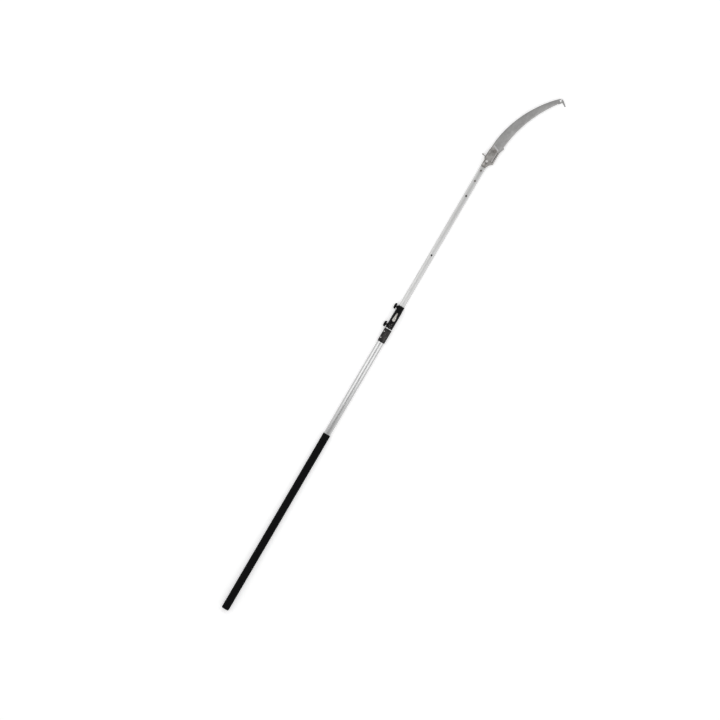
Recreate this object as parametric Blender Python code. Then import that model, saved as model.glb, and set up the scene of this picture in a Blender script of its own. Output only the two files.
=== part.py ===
# Telescopic pole saw with a toothed curved blade, lying flat with its wide face up.
# Metres. +X runs along the pole from the butt to the blade, +Y to the saw's back, +Z up.
# Every shape is drawn in the pole's frame: X from the butt, Y and Z from the tubes' axis.
import math

import bmesh
import bpy
from mathutils import Matrix, Vector

MM = 0.001
TURN = 2 * math.pi
Y, Z = Vector((0, 1, 0)), Vector((0, 0, 1))

# Fits
SEAT = 0.3 * MM             # between pieces that touch
SLIDE_FIT = 0.35 * MM       # round what slides in the tubes
OVERLAP = 2 * MM            # how far cutters and joined shapes run past a face

# Facets
OVAL_SIDES = 36
OVAL_POWER = 2.4            # 2 is an ellipse, more is squarer
ROUND_SIDES = 20
INDEX_SIDES = 14
ARC_STEP = math.radians(18)
SHARP_ANGLE = math.radians(32)
BEVEL_ANGLE = math.radians(40)

# Tubes
OUTER_WIDTH = 32.8 * MM
OUTER_HEIGHT = 26.4 * MM
OUTER_WALL = 1.2 * MM
OUTER_LENGTH = 1452.2 * MM
INNER_WIDTH = 27.0 * MM
INNER_HEIGHT = 20.6 * MM
INNER_WALL = 1.4 * MM
INNER_LENGTH = 1540 * MM
REACH = 725 * MM            # inner tube showing past the lock housing

# Grip, butt cap and collar
GRIP_WALL = 0.8 * MM
GRIP_LENGTH = 901.5 * MM
GRIP_CHAMFER = 0.5 * MM
CAP_LIP = 9 * MM
CAP_EDGE = 5.5 * MM         # rounding of the butt
CAP_PLUG = 38 * MM
CAP_WALL = 2.4 * MM
CAP_ROUND_STEPS = 4
COLLAR_WALL = 1.0 * MM
COLLAR_LENGTH = 66.8 * MM
COLLAR_SIDES = 96
COLLAR_RIB_COUNT = 24
RIB_DEPTH = 0.4 * MM
BARE_RING = 3.8 * MM        # bright tube left showing between collar and housing
SCREW_ANGLE = math.radians(52)
SCREW_SPACING = 31 * MM
SCREW_SETBACK = 16.8 * MM   # from the collar's front end to the front screw
SCREW_HEAD = 2.7 * MM       # radius
SCREW_HEAD_HEIGHT = 1.9 * MM
SCREW_SHANK = 1.5 * MM      # radius

# Lock housing
HOUSING_LENGTH = 115 * MM
HOUSING_WALL = 2.45 * MM
HOUSING_CHAMFER = 1.0 * MM
SPIGOT_LENGTH = 70 * MM
NOSE_WALL = 1.4 * MM
NOSE_LENGTH = 22 * MM
NOSE_BLEND = 3 * MM
CROWN_HEIGHT = 5.9 * MM     # raised latch block above the housing's oval
CROWN_WIDTH = 19.2 * MM
CROWN_CHAMFER = 1.6 * MM
CROWN_ROOT = 26.4 * MM      # width where the block runs into the oval
CROWN_START = 4 * MM        # from the housing's shoulder
CROWN_RAMP = 6 * MM
CROWN_END_RAMP = 13 * MM
CROWN_PAST_LEVER = 8 * MM
FOOT_WIDTH = 24 * MM        # flat underside that the saw rests on
FOOT_ROOT = 26 * MM         # width where the foot runs into the oval
FOOT_END = 4 * MM
GROOVE_COUNT = 5
GROOVE_PITCH = 4.4 * MM
GROOVE_WIDTH = 1.7 * MM
GROOVE_DEPTH = 0.8 * MM
WIPER_WIDTH = 2.0 * MM
WIPER_SETBACK = 2.2 * MM
WIPER_WALL = 0.7 * MM
WIPER_FIT = 0.2 * MM

# Latch
LOCK_OFFSET = 73.2 * MM     # lock pin from the housing's shoulder
THUMB_REACH = 36.7 * MM     # lock pin to the lever's thumb end
TIP_REACH = 6.2 * MM        # lock pin to the lever's narrow end
THUMB_RADIUS = 7.2 * MM
TIP_RADIUS = 4.2 * MM
LEVER_THICKNESS = 4.0 * MM
LEVER_CHAMFER = 0.5 * MM
LEVER_CLEARANCE = 0.8 * MM
LEVER_SUNK = 0.3 * MM       # lever's face below the block's face
LEVER_GROOVE_COUNT = 3
RECESS_WALL = 1.95 * MM     # left between the lever's recess and the tube's bore
HINGE_REACH = 18 * MM       # hinge pin to lock pin
HINGE_RADIUS = 1.0 * MM
HINGE_SUNK = 0.9 * MM
LOCK_PIN_RADIUS = 3.25 * MM
LOCK_PIN_TIP = 2.4 * MM
LOCK_PIN_CHAMFER = 0.8 * MM
LOCK_SHANK = 1.8 * MM       # radius
LOCK_SHANK_DEPTH = 2.6 * MM
WINDOW_REACH = 9 * MM       # opening under the lever, from the lock pin towards the hinge
WINDOW_LEDGE = 0.4 * MM     # left round the opening
SPRING_WIDTH = 7 * MM
SPRING_THICKNESS = 0.5 * MM
SPRING_LENGTH = 12 * MM
SPRING_STATIONS = 7
HOLE_COUNT = 5
HOLE_PITCH = 308.7 * MM
HOLE_CLEARANCE = 1.0 * MM
HOLE_LEAD = 0.7 * MM        # the pin swings back as it goes in
HOLES_BEHIND_COUNT = 2      # index holes between the pin's hole and the tube's hidden end

# Clamps
CLAMP_SETBACK = 11.4 * MM   # screw axis from each end of the housing
BOSS_REACH = 5.1 * MM       # boss face from the inner tube's edge
BOSS_BASE = 7.8 * MM        # radius
BOSS_TOP = 5.9 * MM
PAD_RADIUS = 5.5 * MM
PAD_THICKNESS = 1.4 * MM
CLAMP_TRAVEL = 0.5 * MM     # half a turn of the knob
CLAMP_SCREW = 3.0 * MM      # radius
INSERT_WALL = 1.3 * MM
INSERT_FLANGE = 5.6 * MM
INSERT_FLANGE_HEIGHT = 0.8 * MM
KNOB_RADIUS = 13.6 * MM
KNOB_HUB = 5.2 * MM
KNOB_HUB_HEIGHT = 3.6 * MM
KNOB_RIM = 6.6 * MM
KNOB_DROP = 2.6 * MM        # how far the rim hangs below the head's root
KNOB_LIP = 1.0 * MM
KNOB_HEIGHT = 11.9 * MM
KNOB_CROWN = 5.0 * MM       # radius of the flat on top
KNOB_GRIP_DEPTH = 8.0 * MM  # length of screw held in the knob
KNOB_LOBE_COUNT = 8
KNOB_SCALLOP = 1.1 * MM
KNOB_UNDER_SHARE = 0.84     # of the radius, inside the rim's lower edge
KNOB_LIP_SHARE = 0.94       # at the rim's lower edge
KNOB_DOME_SHARE = 0.86      # half way up the dome
KNOB_TOP_SHARE = 0.62       # where the dome meets the crown
KNOB_SIDES = 32

# Plug at the inner tube's hidden end
GUIDE_FLANGE = 6 * MM
GUIDE_SPIGOT = 20 * MM
GUIDE_WALL = 2.6 * MM
GUIDE_EDGE = 0.8 * MM

# Head casting
TANG_LENGTH = 85 * MM
TANG_CHAMFER = 1.5 * MM
NECK_LENGTH = 38 * MM
NECK_SHOULDER = 0.8 * MM    # step that bears on the tube's end
NECK_LIP = 2 * MM           # from the tube's end to the groove round the neck
NECK_GROOVE_WIDTH = 3.6 * MM
NECK_GROOVE_DEPTH = 1.0 * MM
NECK_GROOVE_SLOPE = 0.6 * MM
NECK_STATIONS = 2
NECK_POWER = 6              # squareness of the neck at the blade
WEB_TOP = 3.2 * MM          # face above the axis, of the web that flares to the tooth side
WEB_INSIDE = 6 * MM         # where the web ends inside the neck, from the axis
FLARE_FRONT = 26.0 * MM     # tooth-side edge from the axis, at the blade
FLARE_LENGTH = 28 * MM
FLARE_POWER = 2.2
FLARE_STATIONS = 5
CHEEK_HALF = 7.5 * MM       # far face from the axis
HUMP_RUN = 5 * MM
HUMP_BACK = 17.2 * MM
HUMP_LENGTH = 43 * MM
HUMP_FALL = 2.2 * MM
CHEEK_BACK = 11.4 * MM      # back corner of the slanting front edge
CHEEK_REACH = 116 * MM      # the same corner from the tube's end
CHEEK_SLANT = 16 * MM       # how far the edge slants back across the blade
CHEEK_CORNER = 3 * MM
CHEEK_CHAMFER = 0.8 * MM
RAIL_WIDTH = 6.9 * MM
RAIL_LENGTH = 64 * MM
RAIL_LIFT = 4 * MM          # rail's face above the axis
RAIL_CORNER = 2.4 * MM
COVER_THICKNESS = 5 * MM
COVER_BEVEL = 10 * MM       # width of the bright slope along the front edge, at the back corner
COVER_BEVEL_END = 6 * MM    # the same width at the tooth side
COVER_HEM = 3 * MM          # width of the slope along the tooth side
COVER_EDGE = 0.6 * MM
COVER_CORNER_STEPS = 4
COVER_STEP = 1.8 * MM       # cover's back edge above the neck's, where they meet

# Blade
BLADE_THICKNESS = 2.0 * MM
BACK_THICKNESS = 1.5 * MM   # ground thinner towards the back
GRIND_RUN = 20 * MM         # blade length over which the grind fades in
TONGUE_LENGTH = 16 * MM
TONGUE_WIDTH = 18 * MM
HEEL_REACH = 124.4 * MM     # first tooth from the tube's end
HEEL_DROP = 36.3 * MM       # first tooth from the axis
HEEL_ANGLE = math.radians(5.55)
HEEL_LENGTH = 7 * MM
HEEL_DEPTH = 5.4 * MM
TOOTH_RADIUS = 578.4 * MM
TOOTHED_LENGTH = 314 * MM
TOOTH_COUNT = 60
TOOTH_DEPTH = 4.2 * MM
TOOTH_RAKE = 0.26           # place of the tip along the pitch
TOOTH_FACET = 0.44          # place where the tip's facet ends
FACET_DEPTH = 1.1 * MM
TOOTH_BEVEL = 0.7 * MM      # how far a tip is ground back on its far face
HEEL_WIDTH = 47.1 * MM
TIP_WIDTH = 18.2 * MM
WIDTH_POWER = 1.5
BACK_STATIONS = 26
LAND_LENGTH = 22 * MM       # plain edge between the last tooth and the hook
HOOK_WIDTH = 8.4 * MM
HOOK_TIP_WIDTH = 5.4 * MM
HOOK_DEPTH = 22 * MM
HOOK_CORNER = 13 * MM
HOOK_CORNER_RUN = 18.2 * MM # back edge given up to that corner
HOOK_NIB = 2.2 * MM         # small corners of the hook and the tongue
LAND_STEP = 5.5 * MM        # from the last tooth to the plain edge
TIP_SLOT_WIDTH = 5.6 * MM
TIP_SLOT_LENGTH = 10 * MM
TIP_SLOT_INSET = 10.2 * MM  # slot's edge to the blade's end
TIP_SLOT_LAND = 6 * MM      # slot's end to the tooth tips' line

# Fasteners
TUBE_BOLT = 2.5 * MM        # radius
TUBE_BOLT_HEAD = 4.3 * MM
TUBE_BOLT_HEAD_HEIGHT = 2.2 * MM
TUBE_BOLT_SETBACK = 18.5 * MM
TUBE_BOLT_SPACING = 53.6 * MM
TUBE_NUT = 4.6 * MM         # radius across corners
TUBE_NUT_HEIGHT = 3.2 * MM
REAR_BOLT = 3.0 * MM
REAR_BOLT_HEAD = 5.6 * MM
REAR_BOLT_HEAD_HEIGHT = 3.2 * MM
REAR_BOLT_REACH = 31 * MM   # from the tube's end
REAR_BOLT_DROP = 1.0 * MM
REAR_NUT = 5.8 * MM
REAR_NUT_HEIGHT = 5.0 * MM
FRONT_BOLT = 4.0 * MM
FRONT_BOLT_HEAD = 7.6 * MM
FRONT_BOLT_HEAD_HEIGHT = 4.0 * MM
FRONT_BOLT_REACH = 89 * MM
FRONT_BOLT_DROP = 12.0 * MM
FRONT_NUT = 7.5 * MM
FRONT_NUT_HEIGHT = 6.0 * MM
SOCKET_SHARE = 0.5          # hex socket's radius over the head's
SOCKET_DEPTH_SHARE = 0.6
HEAD_SIDE_SHARE = 0.45      # straight part of a bolt head's height
HEAD_CROWN_SHARE = 0.62     # flat on top over the head's radius
STUD_REACH = 48.4 * MM      # stud from the tube's end
STUD_LEAN = math.radians(14)
STUD_RADIUS = 2.1 * MM
STUD_HEAD = 4.2 * MM
STUD_HEAD_HEIGHT = 6 * MM
STUD_EDGE = 1.8 * MM        # chamfered edges of the head, along the stud
STUD_UNDER = 3.6 * MM       # radius under the head
STUD_TOP = 2.9 * MM         # radius on top of the head
STUD_OUT = 11.5 * MM        # shank showing
STUD_DEPTH = 6 * MM

# Stations along the pole
TUBE_START = CAP_LIP + SEAT
TUBE_END = TUBE_START + OUTER_LENGTH
GRIP_END = TUBE_START + GRIP_LENGTH
COLLAR_END = TUBE_END - BARE_RING
COLLAR_START = COLLAR_END - COLLAR_LENGTH
COLLAR_SCREWS = {"rear": COLLAR_END - SCREW_SETBACK - SCREW_SPACING, "front": COLLAR_END - SCREW_SETBACK}
HOUSING_START = TUBE_END + SEAT
HOUSING_END = HOUSING_START + HOUSING_LENGTH
CLAMPS = {"lower": HOUSING_START + CLAMP_SETBACK, "upper": HOUSING_END - CLAMP_SETBACK}
LOCK_X = HOUSING_START + LOCK_OFFSET
HINGE_X = LOCK_X - HINGE_REACH
LEVER_START = LOCK_X - THUMB_REACH
LEVER_END = LOCK_X + TIP_REACH
INNER_END = HOUSING_END + REACH
INNER_START = INNER_END - INNER_LENGTH
HEAD_X = INNER_END + SEAT
NECK_END = HEAD_X + NECK_LENGTH
TANG_INSET = INNER_WALL + SEAT
NECK_BACK = INNER_WIDTH / 2 - TANG_INSET + NECK_SHOULDER
NECK_ROUND = INNER_HEIGHT / 2 - TANG_INSET + NECK_SHOULDER
FRONT_TUBE_BOLT = INNER_END - TUBE_BOLT_SETBACK
TUBE_BOLTS = {"rear": FRONT_TUBE_BOLT - TUBE_BOLT_SPACING, "front": FRONT_TUBE_BOLT}

# Heights from the axis
REST_HEIGHT = OUTER_HEIGHT / 2 + SEAT + COLLAR_WALL
BORE_TOP = INNER_HEIGHT / 2 + SLIDE_FIT
OVAL_TOP = BORE_TOP + HOUSING_WALL
CROWN_TOP = OVAL_TOP + CROWN_HEIGHT
RECESS_FLOOR = BORE_TOP + RECESS_WALL
LEVER_TOP = CROWN_TOP - LEVER_SUNK
LEVER_UNDER = LEVER_TOP - LEVER_THICKNESS
HINGE_Z = (LEVER_TOP + LEVER_UNDER) / 2
BLADE_TOP = BLADE_THICKNESS / 2
COVER_UNDER = BLADE_TOP + SEAT
COVER_TOP = COVER_UNDER + COVER_THICKNESS

# Clamp stations across the pole
PAD_FACE = INNER_WIDTH / 2 + SEAT
PAD_BACK = PAD_FACE + PAD_THICKNESS
POCKET_END = PAD_BACK + CLAMP_TRAVEL + SEAT
BOSS_FACE = INNER_WIDTH / 2 + BOSS_REACH
INSERT_FACE = BOSS_FACE + SEAT + INSERT_FLANGE_HEIGHT
KNOB_FACE = INSERT_FACE + SEAT

# Colours as (red, green, blue), roughness, metallic
BRIGHT_ALUMINIUM = ((0.80, 0.80, 0.81), 0.28, 1.0)
SATIN_ALUMINIUM = ((0.62, 0.62, 0.61), 0.42, 1.0)
GREY_CASTING = ((0.30, 0.29, 0.28), 0.55, 0.8)
BLADE_STEEL = ((0.38, 0.38, 0.38), 0.38, 1.0)
BLACK_RUBBER = ((0.008, 0.008, 0.009), 0.7, 0.0)
BLACK_NYLON = ((0.014, 0.013, 0.015), 0.48, 0.0)
NATURAL_NYLON = ((0.72, 0.70, 0.64), 0.5, 0.0)
LEVER_METAL = ((0.66, 0.63, 0.57), 0.35, 1.0)
BRIGHT_STEEL = ((0.78, 0.77, 0.75), 0.22, 1.0)
DARK_STEEL = ((0.10, 0.09, 0.085), 0.45, 1.0)
SPRING_STEEL = ((0.34, 0.33, 0.33), 0.3, 1.0)


# Rings and solids

def oval(x, width, height, sides=OVAL_SIDES, power=OVAL_POWER, middle=0.0):
    """A closed oval across the pole, with flats at its widest and highest places."""
    ring = []
    for side in range(sides):
        angle = TURN * (side + 0.5) / sides
        across, up = math.cos(angle), math.sin(angle)
        y = width / 2 * math.copysign(abs(across) ** (2 / power), across)
        z = height / 2 * math.copysign(abs(up) ** (2 / power), up)
        ring.append(Vector((x, middle + y, z)))
    return ring


def on_outer(x, gap=0.0, sides=OVAL_SIDES):
    return oval(x, OUTER_WIDTH + 2 * gap, OUTER_HEIGHT + 2 * gap, sides)


def on_inner(x, gap=0.0):
    return oval(x, INNER_WIDTH + 2 * gap, INNER_HEIGHT + 2 * gap)


def circle(height, radius, sides=ROUND_SIDES, lobes=0, scallop=0.0):
    """A ring round local Z, drawn in between its lobes by the scallop's depth."""
    ring = []
    for side in range(sides):
        angle = TURN * (side + 0.5) / sides
        reach = radius - scallop * (0.5 - 0.5 * math.cos(lobes * angle))
        ring.append(Vector((reach * math.cos(angle), reach * math.sin(angle), height)))
    return ring


def bridged(shape, loops):
    for first, second in loops:
        for side in range(len(first)):
            shape.faces.new((first[side - 1], first[side], second[side], second[side - 1]))


def loft(rings):
    """A solid through the rings, closed by a flat face at each end."""
    shape = bmesh.new()
    loops = [[shape.verts.new(point) for point in ring] for ring in rings]
    bridged(shape, zip(loops, loops[1:]))
    shape.faces.new(loops[0])
    shape.faces.new(loops[-1])
    return shape


def sleeve(rings):
    """A hollow solid whose skin passes through the rings and back to the first."""
    shape = bmesh.new()
    loops = [[shape.verts.new(point) for point in ring] for ring in rings]
    bridged(shape, zip(loops, loops[1:] + loops[:1]))
    return shape


def prism(outline, low, high, top_outline=None):
    """An outline in the pole's plane, raised from low to high."""
    tops = top_outline or outline
    return loft([[Vector((x, y, low)) for x, y in outline], [Vector((x, y, high)) for x, y in tops]])


def block(low, high):
    corners = [(low[0], low[1]), (high[0], low[1]), (high[0], high[1]), (low[0], high[1])]
    return prism(corners, low[2], high[2])


def rod(radius, low, high, sides=ROUND_SIDES):
    return loft([circle(low, radius, sides), circle(high, radius, sides)])


def aimed(shape, place, direction=Z):
    """Turns local Z to the direction and moves the shape to its place."""
    shape.transform(Matrix.Translation(place) @ Z.rotation_difference(direction).to_matrix().to_4x4())
    return shape


def arc(middle, radius, start, end, steps=None):
    steps = steps or max(2, math.ceil(abs(end - start) / ARC_STEP))
    angles = [start + (end - start) * step / steps for step in range(steps + 1)]
    return [(middle[0] + radius * math.cos(a), middle[1] + radius * math.sin(a)) for a in angles]


def rounded(corners, steps=None):
    """An outline through (x, y, radius) corners, each turned by an arc of its radius."""
    outline = []
    for index, (x, y, radius) in enumerate(corners):
        corner = Vector((x, y))
        if not radius:
            outline.append((x, y))
            continue
        back = (Vector(corners[index - 1][:2]) - corner).normalized()
        ahead = (Vector(corners[(index + 1) % len(corners)][:2]) - corner).normalized()
        half = back.angle(ahead) / 2
        middle = corner + (back + ahead).normalized() * radius / math.sin(half)
        start = corner + back * radius / math.tan(half) - middle
        end = corner + ahead * radius / math.tan(half) - middle
        first = math.atan2(start.y, start.x)
        sweep = (math.atan2(end.y, end.x) - first + math.pi) % TURN - math.pi
        outline += arc(middle, radius, first, first + sweep, steps)
    return outline


# Objects

def pivot(name, place, carrier=None):
    """An empty on a joint's axis that carries the pieces moving there."""
    empty = bpy.data.objects.new(name, None)
    empty.location = place
    empty.empty_display_size = OUTER_WIDTH
    empty.parent = carrier
    bpy.context.scene.collection.objects.link(empty)
    return empty


def solid(name, shape, carrier):
    """A mesh object from a shape in the pole's frame, with its origin on its carrier's."""
    steps = carrier
    while steps.parent:
        shape.transform(Matrix.Translation(-steps.location))
        steps = steps.parent
    bmesh.ops.recalc_face_normals(shape, faces=shape.faces)
    mesh = bpy.data.meshes.new(name)
    shape.to_mesh(mesh)
    shape.free()
    mesh.shade_smooth()
    mesh.set_sharp_from_angle(angle=SHARP_ANGLE)
    thing = bpy.data.objects.new(name, mesh)
    thing.parent = carrier
    bpy.context.scene.collection.objects.link(thing)
    return thing


def piece(name, shape, carrier, finish):
    colour, roughness, metallic = finish
    material = bpy.data.materials.new(name)
    material.use_nodes = True
    shader = material.node_tree.nodes["Principled BSDF"]
    shader.inputs["Base Color"].default_value = (*colour, 1)
    shader.inputs["Roughness"].default_value = roughness
    shader.inputs["Metallic"].default_value = metallic
    material.diffuse_color = (*colour, 1)
    thing = solid(name, shape, carrier)
    thing.data.materials.append(material)
    return thing


def guide(name, shape, carrier):
    """A shape that only cuts or joins another one."""
    thing = solid(name, shape, carrier)
    thing.hide_render = True
    thing.display_type = "WIRE"
    return thing


def combine(thing, shape, operation, label):
    tool = guide(f"{label}_{thing.name}", shape, thing.parent)
    change = thing.modifiers.new(label, "BOOLEAN")
    change.operation = operation
    change.solver = "EXACT"
    change.object = tool
    return tool


def cut(thing, shape, label="cut"):
    return combine(thing, shape, "DIFFERENCE", label)


def join(thing, shape, label="join"):
    return combine(thing, shape, "UNION", label)


def bevelled(thing, width):
    change = thing.modifiers.new("bevel", "BEVEL")
    change.width = width
    change.segments = 1
    change.limit_method = "ANGLE"
    change.angle_limit = BEVEL_ANGLE
    return thing


# Outer tube and what is on it

def end_cap(carrier):
    lip = SEAT + COLLAR_WALL
    rings = []
    for step in range(CAP_ROUND_STEPS + 1):
        angle = TURN / 4 * step / CAP_ROUND_STEPS
        rings.append(on_outer(CAP_EDGE * (1 - math.sin(angle)), lip - CAP_EDGE * (1 - math.cos(angle))))
    rings.reverse()
    plug = -OUTER_WALL - SEAT
    rings += [on_outer(CAP_LIP, lip), on_outer(CAP_LIP, plug), on_outer(CAP_LIP + CAP_PLUG, plug)]
    rings += [on_outer(CAP_LIP + CAP_PLUG, plug - CAP_WALL), on_outer(CAP_LIP + CAP_WALL, plug - CAP_WALL)]
    piece("end_cap", loft(rings), carrier, BLACK_RUBBER)


def grip_sleeve(carrier):
    skin = SEAT + GRIP_WALL
    rings = [on_outer(TUBE_START, skin), on_outer(GRIP_END - GRIP_CHAMFER, skin)]
    rings += [on_outer(GRIP_END, skin - GRIP_CHAMFER), on_outer(GRIP_END, SEAT), on_outer(TUBE_START, SEAT)]
    piece("grip_sleeve", sleeve(rings), carrier, BLACK_RUBBER)


def outer_tube(carrier):
    rings = [on_outer(TUBE_START), on_outer(TUBE_END)]
    rings += [on_outer(TUBE_END, -OUTER_WALL), on_outer(TUBE_START, -OUTER_WALL)]
    tube = piece("outer_tube", sleeve(rings), carrier, BRIGHT_ALUMINIUM)
    for name, x in COLLAR_SCREWS.items():
        cut(tube, collar_screw_hole(x, SCREW_SHANK + SEAT), name)


def collar_screw_seat(x):
    """The place on the tube under a collar screw, and the way the screw points out."""
    across, up = math.cos(SCREW_ANGLE), math.sin(SCREW_ANGLE)
    y = OUTER_WIDTH / 2 * across ** (2 / OVAL_POWER)
    z = OUTER_HEIGHT / 2 * up ** (2 / OVAL_POWER)
    slope_y = (2 * y / OUTER_WIDTH) ** (OVAL_POWER - 1) / OUTER_WIDTH
    slope_z = (2 * z / OUTER_HEIGHT) ** (OVAL_POWER - 1) / OUTER_HEIGHT
    return Vector((x, y, z)), Vector((0, slope_y, slope_z)).normalized()


def collar_screw_hole(x, radius):
    seat, outward = collar_screw_seat(x)
    return aimed(rod(radius, -OUTER_WALL - SEAT - 2 * OVERLAP, 2 * OVERLAP), seat, outward)


def collar_sleeve(carrier):
    def ribbed(x, gap):
        ring = on_outer(x, gap, COLLAR_SIDES)
        valley = on_outer(x, gap - RIB_DEPTH, COLLAR_SIDES)
        per_rib = COLLAR_SIDES // COLLAR_RIB_COUNT
        return [low if (side + 1) % per_rib < per_rib // 2 else high
                for side, (high, low) in enumerate(zip(ring, valley))]

    skin = SEAT + COLLAR_WALL
    rings = [ribbed(COLLAR_START, skin), ribbed(COLLAR_END, skin)]
    rings += [on_outer(COLLAR_END, SEAT, COLLAR_SIDES), on_outer(COLLAR_START, SEAT, COLLAR_SIDES)]
    collar = piece("collar_sleeve", sleeve(rings), carrier, BLACK_RUBBER)
    for name, x in COLLAR_SCREWS.items():
        cut(collar, collar_screw_hole(x, SCREW_HEAD + SEAT), name)


def collar_screws(carrier):
    reach = SEAT + OUTER_WALL + SEAT + spigot_wall() - SEAT
    for name, x in COLLAR_SCREWS.items():
        seat, outward = collar_screw_seat(x)
        head = SEAT + SCREW_HEAD_HEIGHT
        rings = [circle(SEAT - reach, SCREW_SHANK), circle(SEAT, SCREW_SHANK), circle(SEAT, SCREW_HEAD)]
        rings += [circle(SEAT + SCREW_HEAD_HEIGHT / 2, SCREW_HEAD), circle(head, SCREW_HEAD / 2)]
        piece(f"collar_screw_{name}", aimed(loft(rings), seat, outward), carrier, BRIGHT_STEEL)


def spigot_wall():
    return (OUTER_WIDTH - INNER_WIDTH) / 2 - OUTER_WALL - SEAT - SLIDE_FIT


# Lock housing

def ridge(x, top, crown, root, root_height):
    """A section of the raised block or the foot, with chamfered shoulders."""
    down = math.copysign(CROWN_CHAMFER, top)
    half = crown / 2
    points = [(root / 2, root_height), (half + CROWN_CHAMFER, top - down), (half, top)]
    return [Vector((x, y, z)) for y, z in points + [(-y, z) for y, z in reversed(points)]]


def crown_shape():
    root_height = BORE_TOP - OVERLAP
    low = OVAL_TOP - SEAT * 2
    start = HOUSING_START + CROWN_START
    end = LEVER_END + CROWN_PAST_LEVER
    heights = [(start, low), (start + CROWN_RAMP, CROWN_TOP), (end, CROWN_TOP), (end + CROWN_END_RAMP, low)]
    return loft([ridge(x, top, CROWN_WIDTH, CROWN_ROOT, root_height) for x, top in heights])


def foot_shape():
    low = -OVAL_TOP + SEAT * 2
    start, end = HOUSING_START + HOUSING_CHAMFER, HOUSING_END - NOSE_LENGTH - NOSE_BLEND
    heights = [(start, low), (start + FOOT_END, -REST_HEIGHT), (end - FOOT_END, -REST_HEIGHT), (end, low)]
    return loft([ridge(x, top, FOOT_WIDTH, FOOT_ROOT, -BORE_TOP / 2) for x, top in heights])


def housing_body():
    wall, nose = SLIDE_FIT + HOUSING_WALL, SLIDE_FIT + NOSE_WALL
    spigot = -OUTER_WALL - SEAT
    step = HOUSING_END - NOSE_LENGTH
    rings = [on_outer(HOUSING_START - SPIGOT_LENGTH, spigot), on_outer(HOUSING_START, spigot)]
    rings.append(on_inner(HOUSING_START, wall - HOUSING_CHAMFER))
    rings.append(on_inner(HOUSING_START + HOUSING_CHAMFER, wall))
    rings += [on_inner(step - NOSE_BLEND, wall), on_inner(step, nose)]
    rings.append(on_inner(HOUSING_END - HOUSING_CHAMFER, nose))
    rings.append(on_inner(HOUSING_END, nose - HOUSING_CHAMFER / 2))
    return loft(rings)


def lever_outline(grow=0.0):
    """The lever seen from above: a wide thumb end and a narrow tip joined by tangents."""
    thumb, tip = LEVER_START + THUMB_RADIUS, LEVER_END - TIP_RADIUS
    lean = math.acos((THUMB_RADIUS - TIP_RADIUS) / (tip - thumb))
    outline = arc((tip, 0), TIP_RADIUS + grow, -lean, lean)
    return outline + arc((thumb, 0), THUMB_RADIUS + grow, lean, TURN - lean)


def grooves_shape(first, count, width, depth, half_length, top):
    """A row of V grooves across the pole, as one cutter."""
    shape = bmesh.new()
    for index in range(count):
        x = first + index * GROOVE_PITCH
        ends = []
        for y in (-half_length, half_length):
            corners = [(x - width / 2, top + OVERLAP), (x, top - depth), (x + width / 2, top + OVERLAP)]
            ends.append([shape.verts.new((px, y, pz)) for px, pz in corners])
        bridged(shape, [ends])
        shape.faces.new(ends[0])
        shape.faces.new(ends[1])
    return shape


def lock_housing(carrier):
    housing = piece("lock_housing", housing_body(), carrier, BLACK_NYLON)
    join(housing, crown_shape(), "crown")
    join(housing, foot_shape(), "foot")
    for name, x in CLAMPS.items():
        cone = loft([circle(0, BOSS_BASE), circle(BOSS_FACE - INNER_WIDTH / 2 + OVERLAP, BOSS_TOP)])
        join(housing, aimed(cone, (x, INNER_WIDTH / 2 - OVERLAP, 0), Y), f"boss_{name}")
    start = HOUSING_START - SPIGOT_LENGTH - OVERLAP
    cut(housing, loft([on_inner(start, SLIDE_FIT), on_inner(HOUSING_END + OVERLAP, SLIDE_FIT)]), "bore")
    cut(housing, prism(lever_outline(LEVER_CLEARANCE), RECESS_FLOOR, CROWN_TOP + OVERLAP), "recess")
    half = TIP_RADIUS + LEVER_CLEARANCE - WINDOW_LEDGE
    window = [(LOCK_X - WINDOW_REACH, half), (LOCK_X - WINDOW_REACH, -half)]
    window += arc((LEVER_END - TIP_RADIUS, 0), half, -TURN / 4, TURN / 4)
    cut(housing, prism(window, BORE_TOP - OVERLAP, RECESS_FLOOR + OVERLAP / 2), "window")
    cut(housing, hinge_rod(HINGE_RADIUS + SEAT, CROWN_ROOT / 2 + OVERLAP), "hinge")
    first = LEVER_START - LEVER_CLEARANCE - GROOVE_PITCH * GROOVE_COUNT
    ribs = grooves_shape(first, GROOVE_COUNT, GROOVE_WIDTH, GROOVE_DEPTH, CROWN_ROOT, CROWN_TOP)
    cut(housing, ribs, "ribs")
    for name, x in CLAMPS.items():
        pocket = rod(PAD_RADIUS + SEAT, INNER_WIDTH / 2 - PAD_RADIUS, POCKET_END)
        cut(housing, aimed(pocket, (x, 0, 0), Y), f"pocket_{name}")
        seat = rod(CLAMP_SCREW + SEAT + INSERT_WALL + SEAT, POCKET_END - OVERLAP / 2, BOSS_FACE + OVERLAP)
        cut(housing, aimed(seat, (x, 0, 0), Y), f"insert_{name}")
    for name, x in COLLAR_SCREWS.items():
        cut(housing, collar_screw_hole(x, SCREW_SHANK + SEAT), f"screw_{name}")
    start = HOUSING_END - WIPER_SETBACK - WIPER_WIDTH - SEAT
    end = HOUSING_END - WIPER_SETBACK + SEAT
    groove = WIPER_FIT + WIPER_WALL + SEAT
    cut(housing, loft([on_inner(start, groove), on_inner(end, groove)]), "groove")


def wiper_ring(carrier):
    start = HOUSING_END - WIPER_SETBACK - WIPER_WIDTH
    end = HOUSING_END - WIPER_SETBACK
    outside = WIPER_FIT + WIPER_WALL
    rings = [on_inner(start, outside), on_inner(end, outside)]
    rings += [on_inner(end, WIPER_FIT), on_inner(start, WIPER_FIT)]
    piece("wiper_ring", sleeve(rings), carrier, BLACK_RUBBER)


# Latch

def hinge_rod(radius, half_length):
    return aimed(rod(radius, -half_length, half_length, ROUND_SIDES // 2), (HINGE_X, 0, HINGE_Z), Y)


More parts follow.
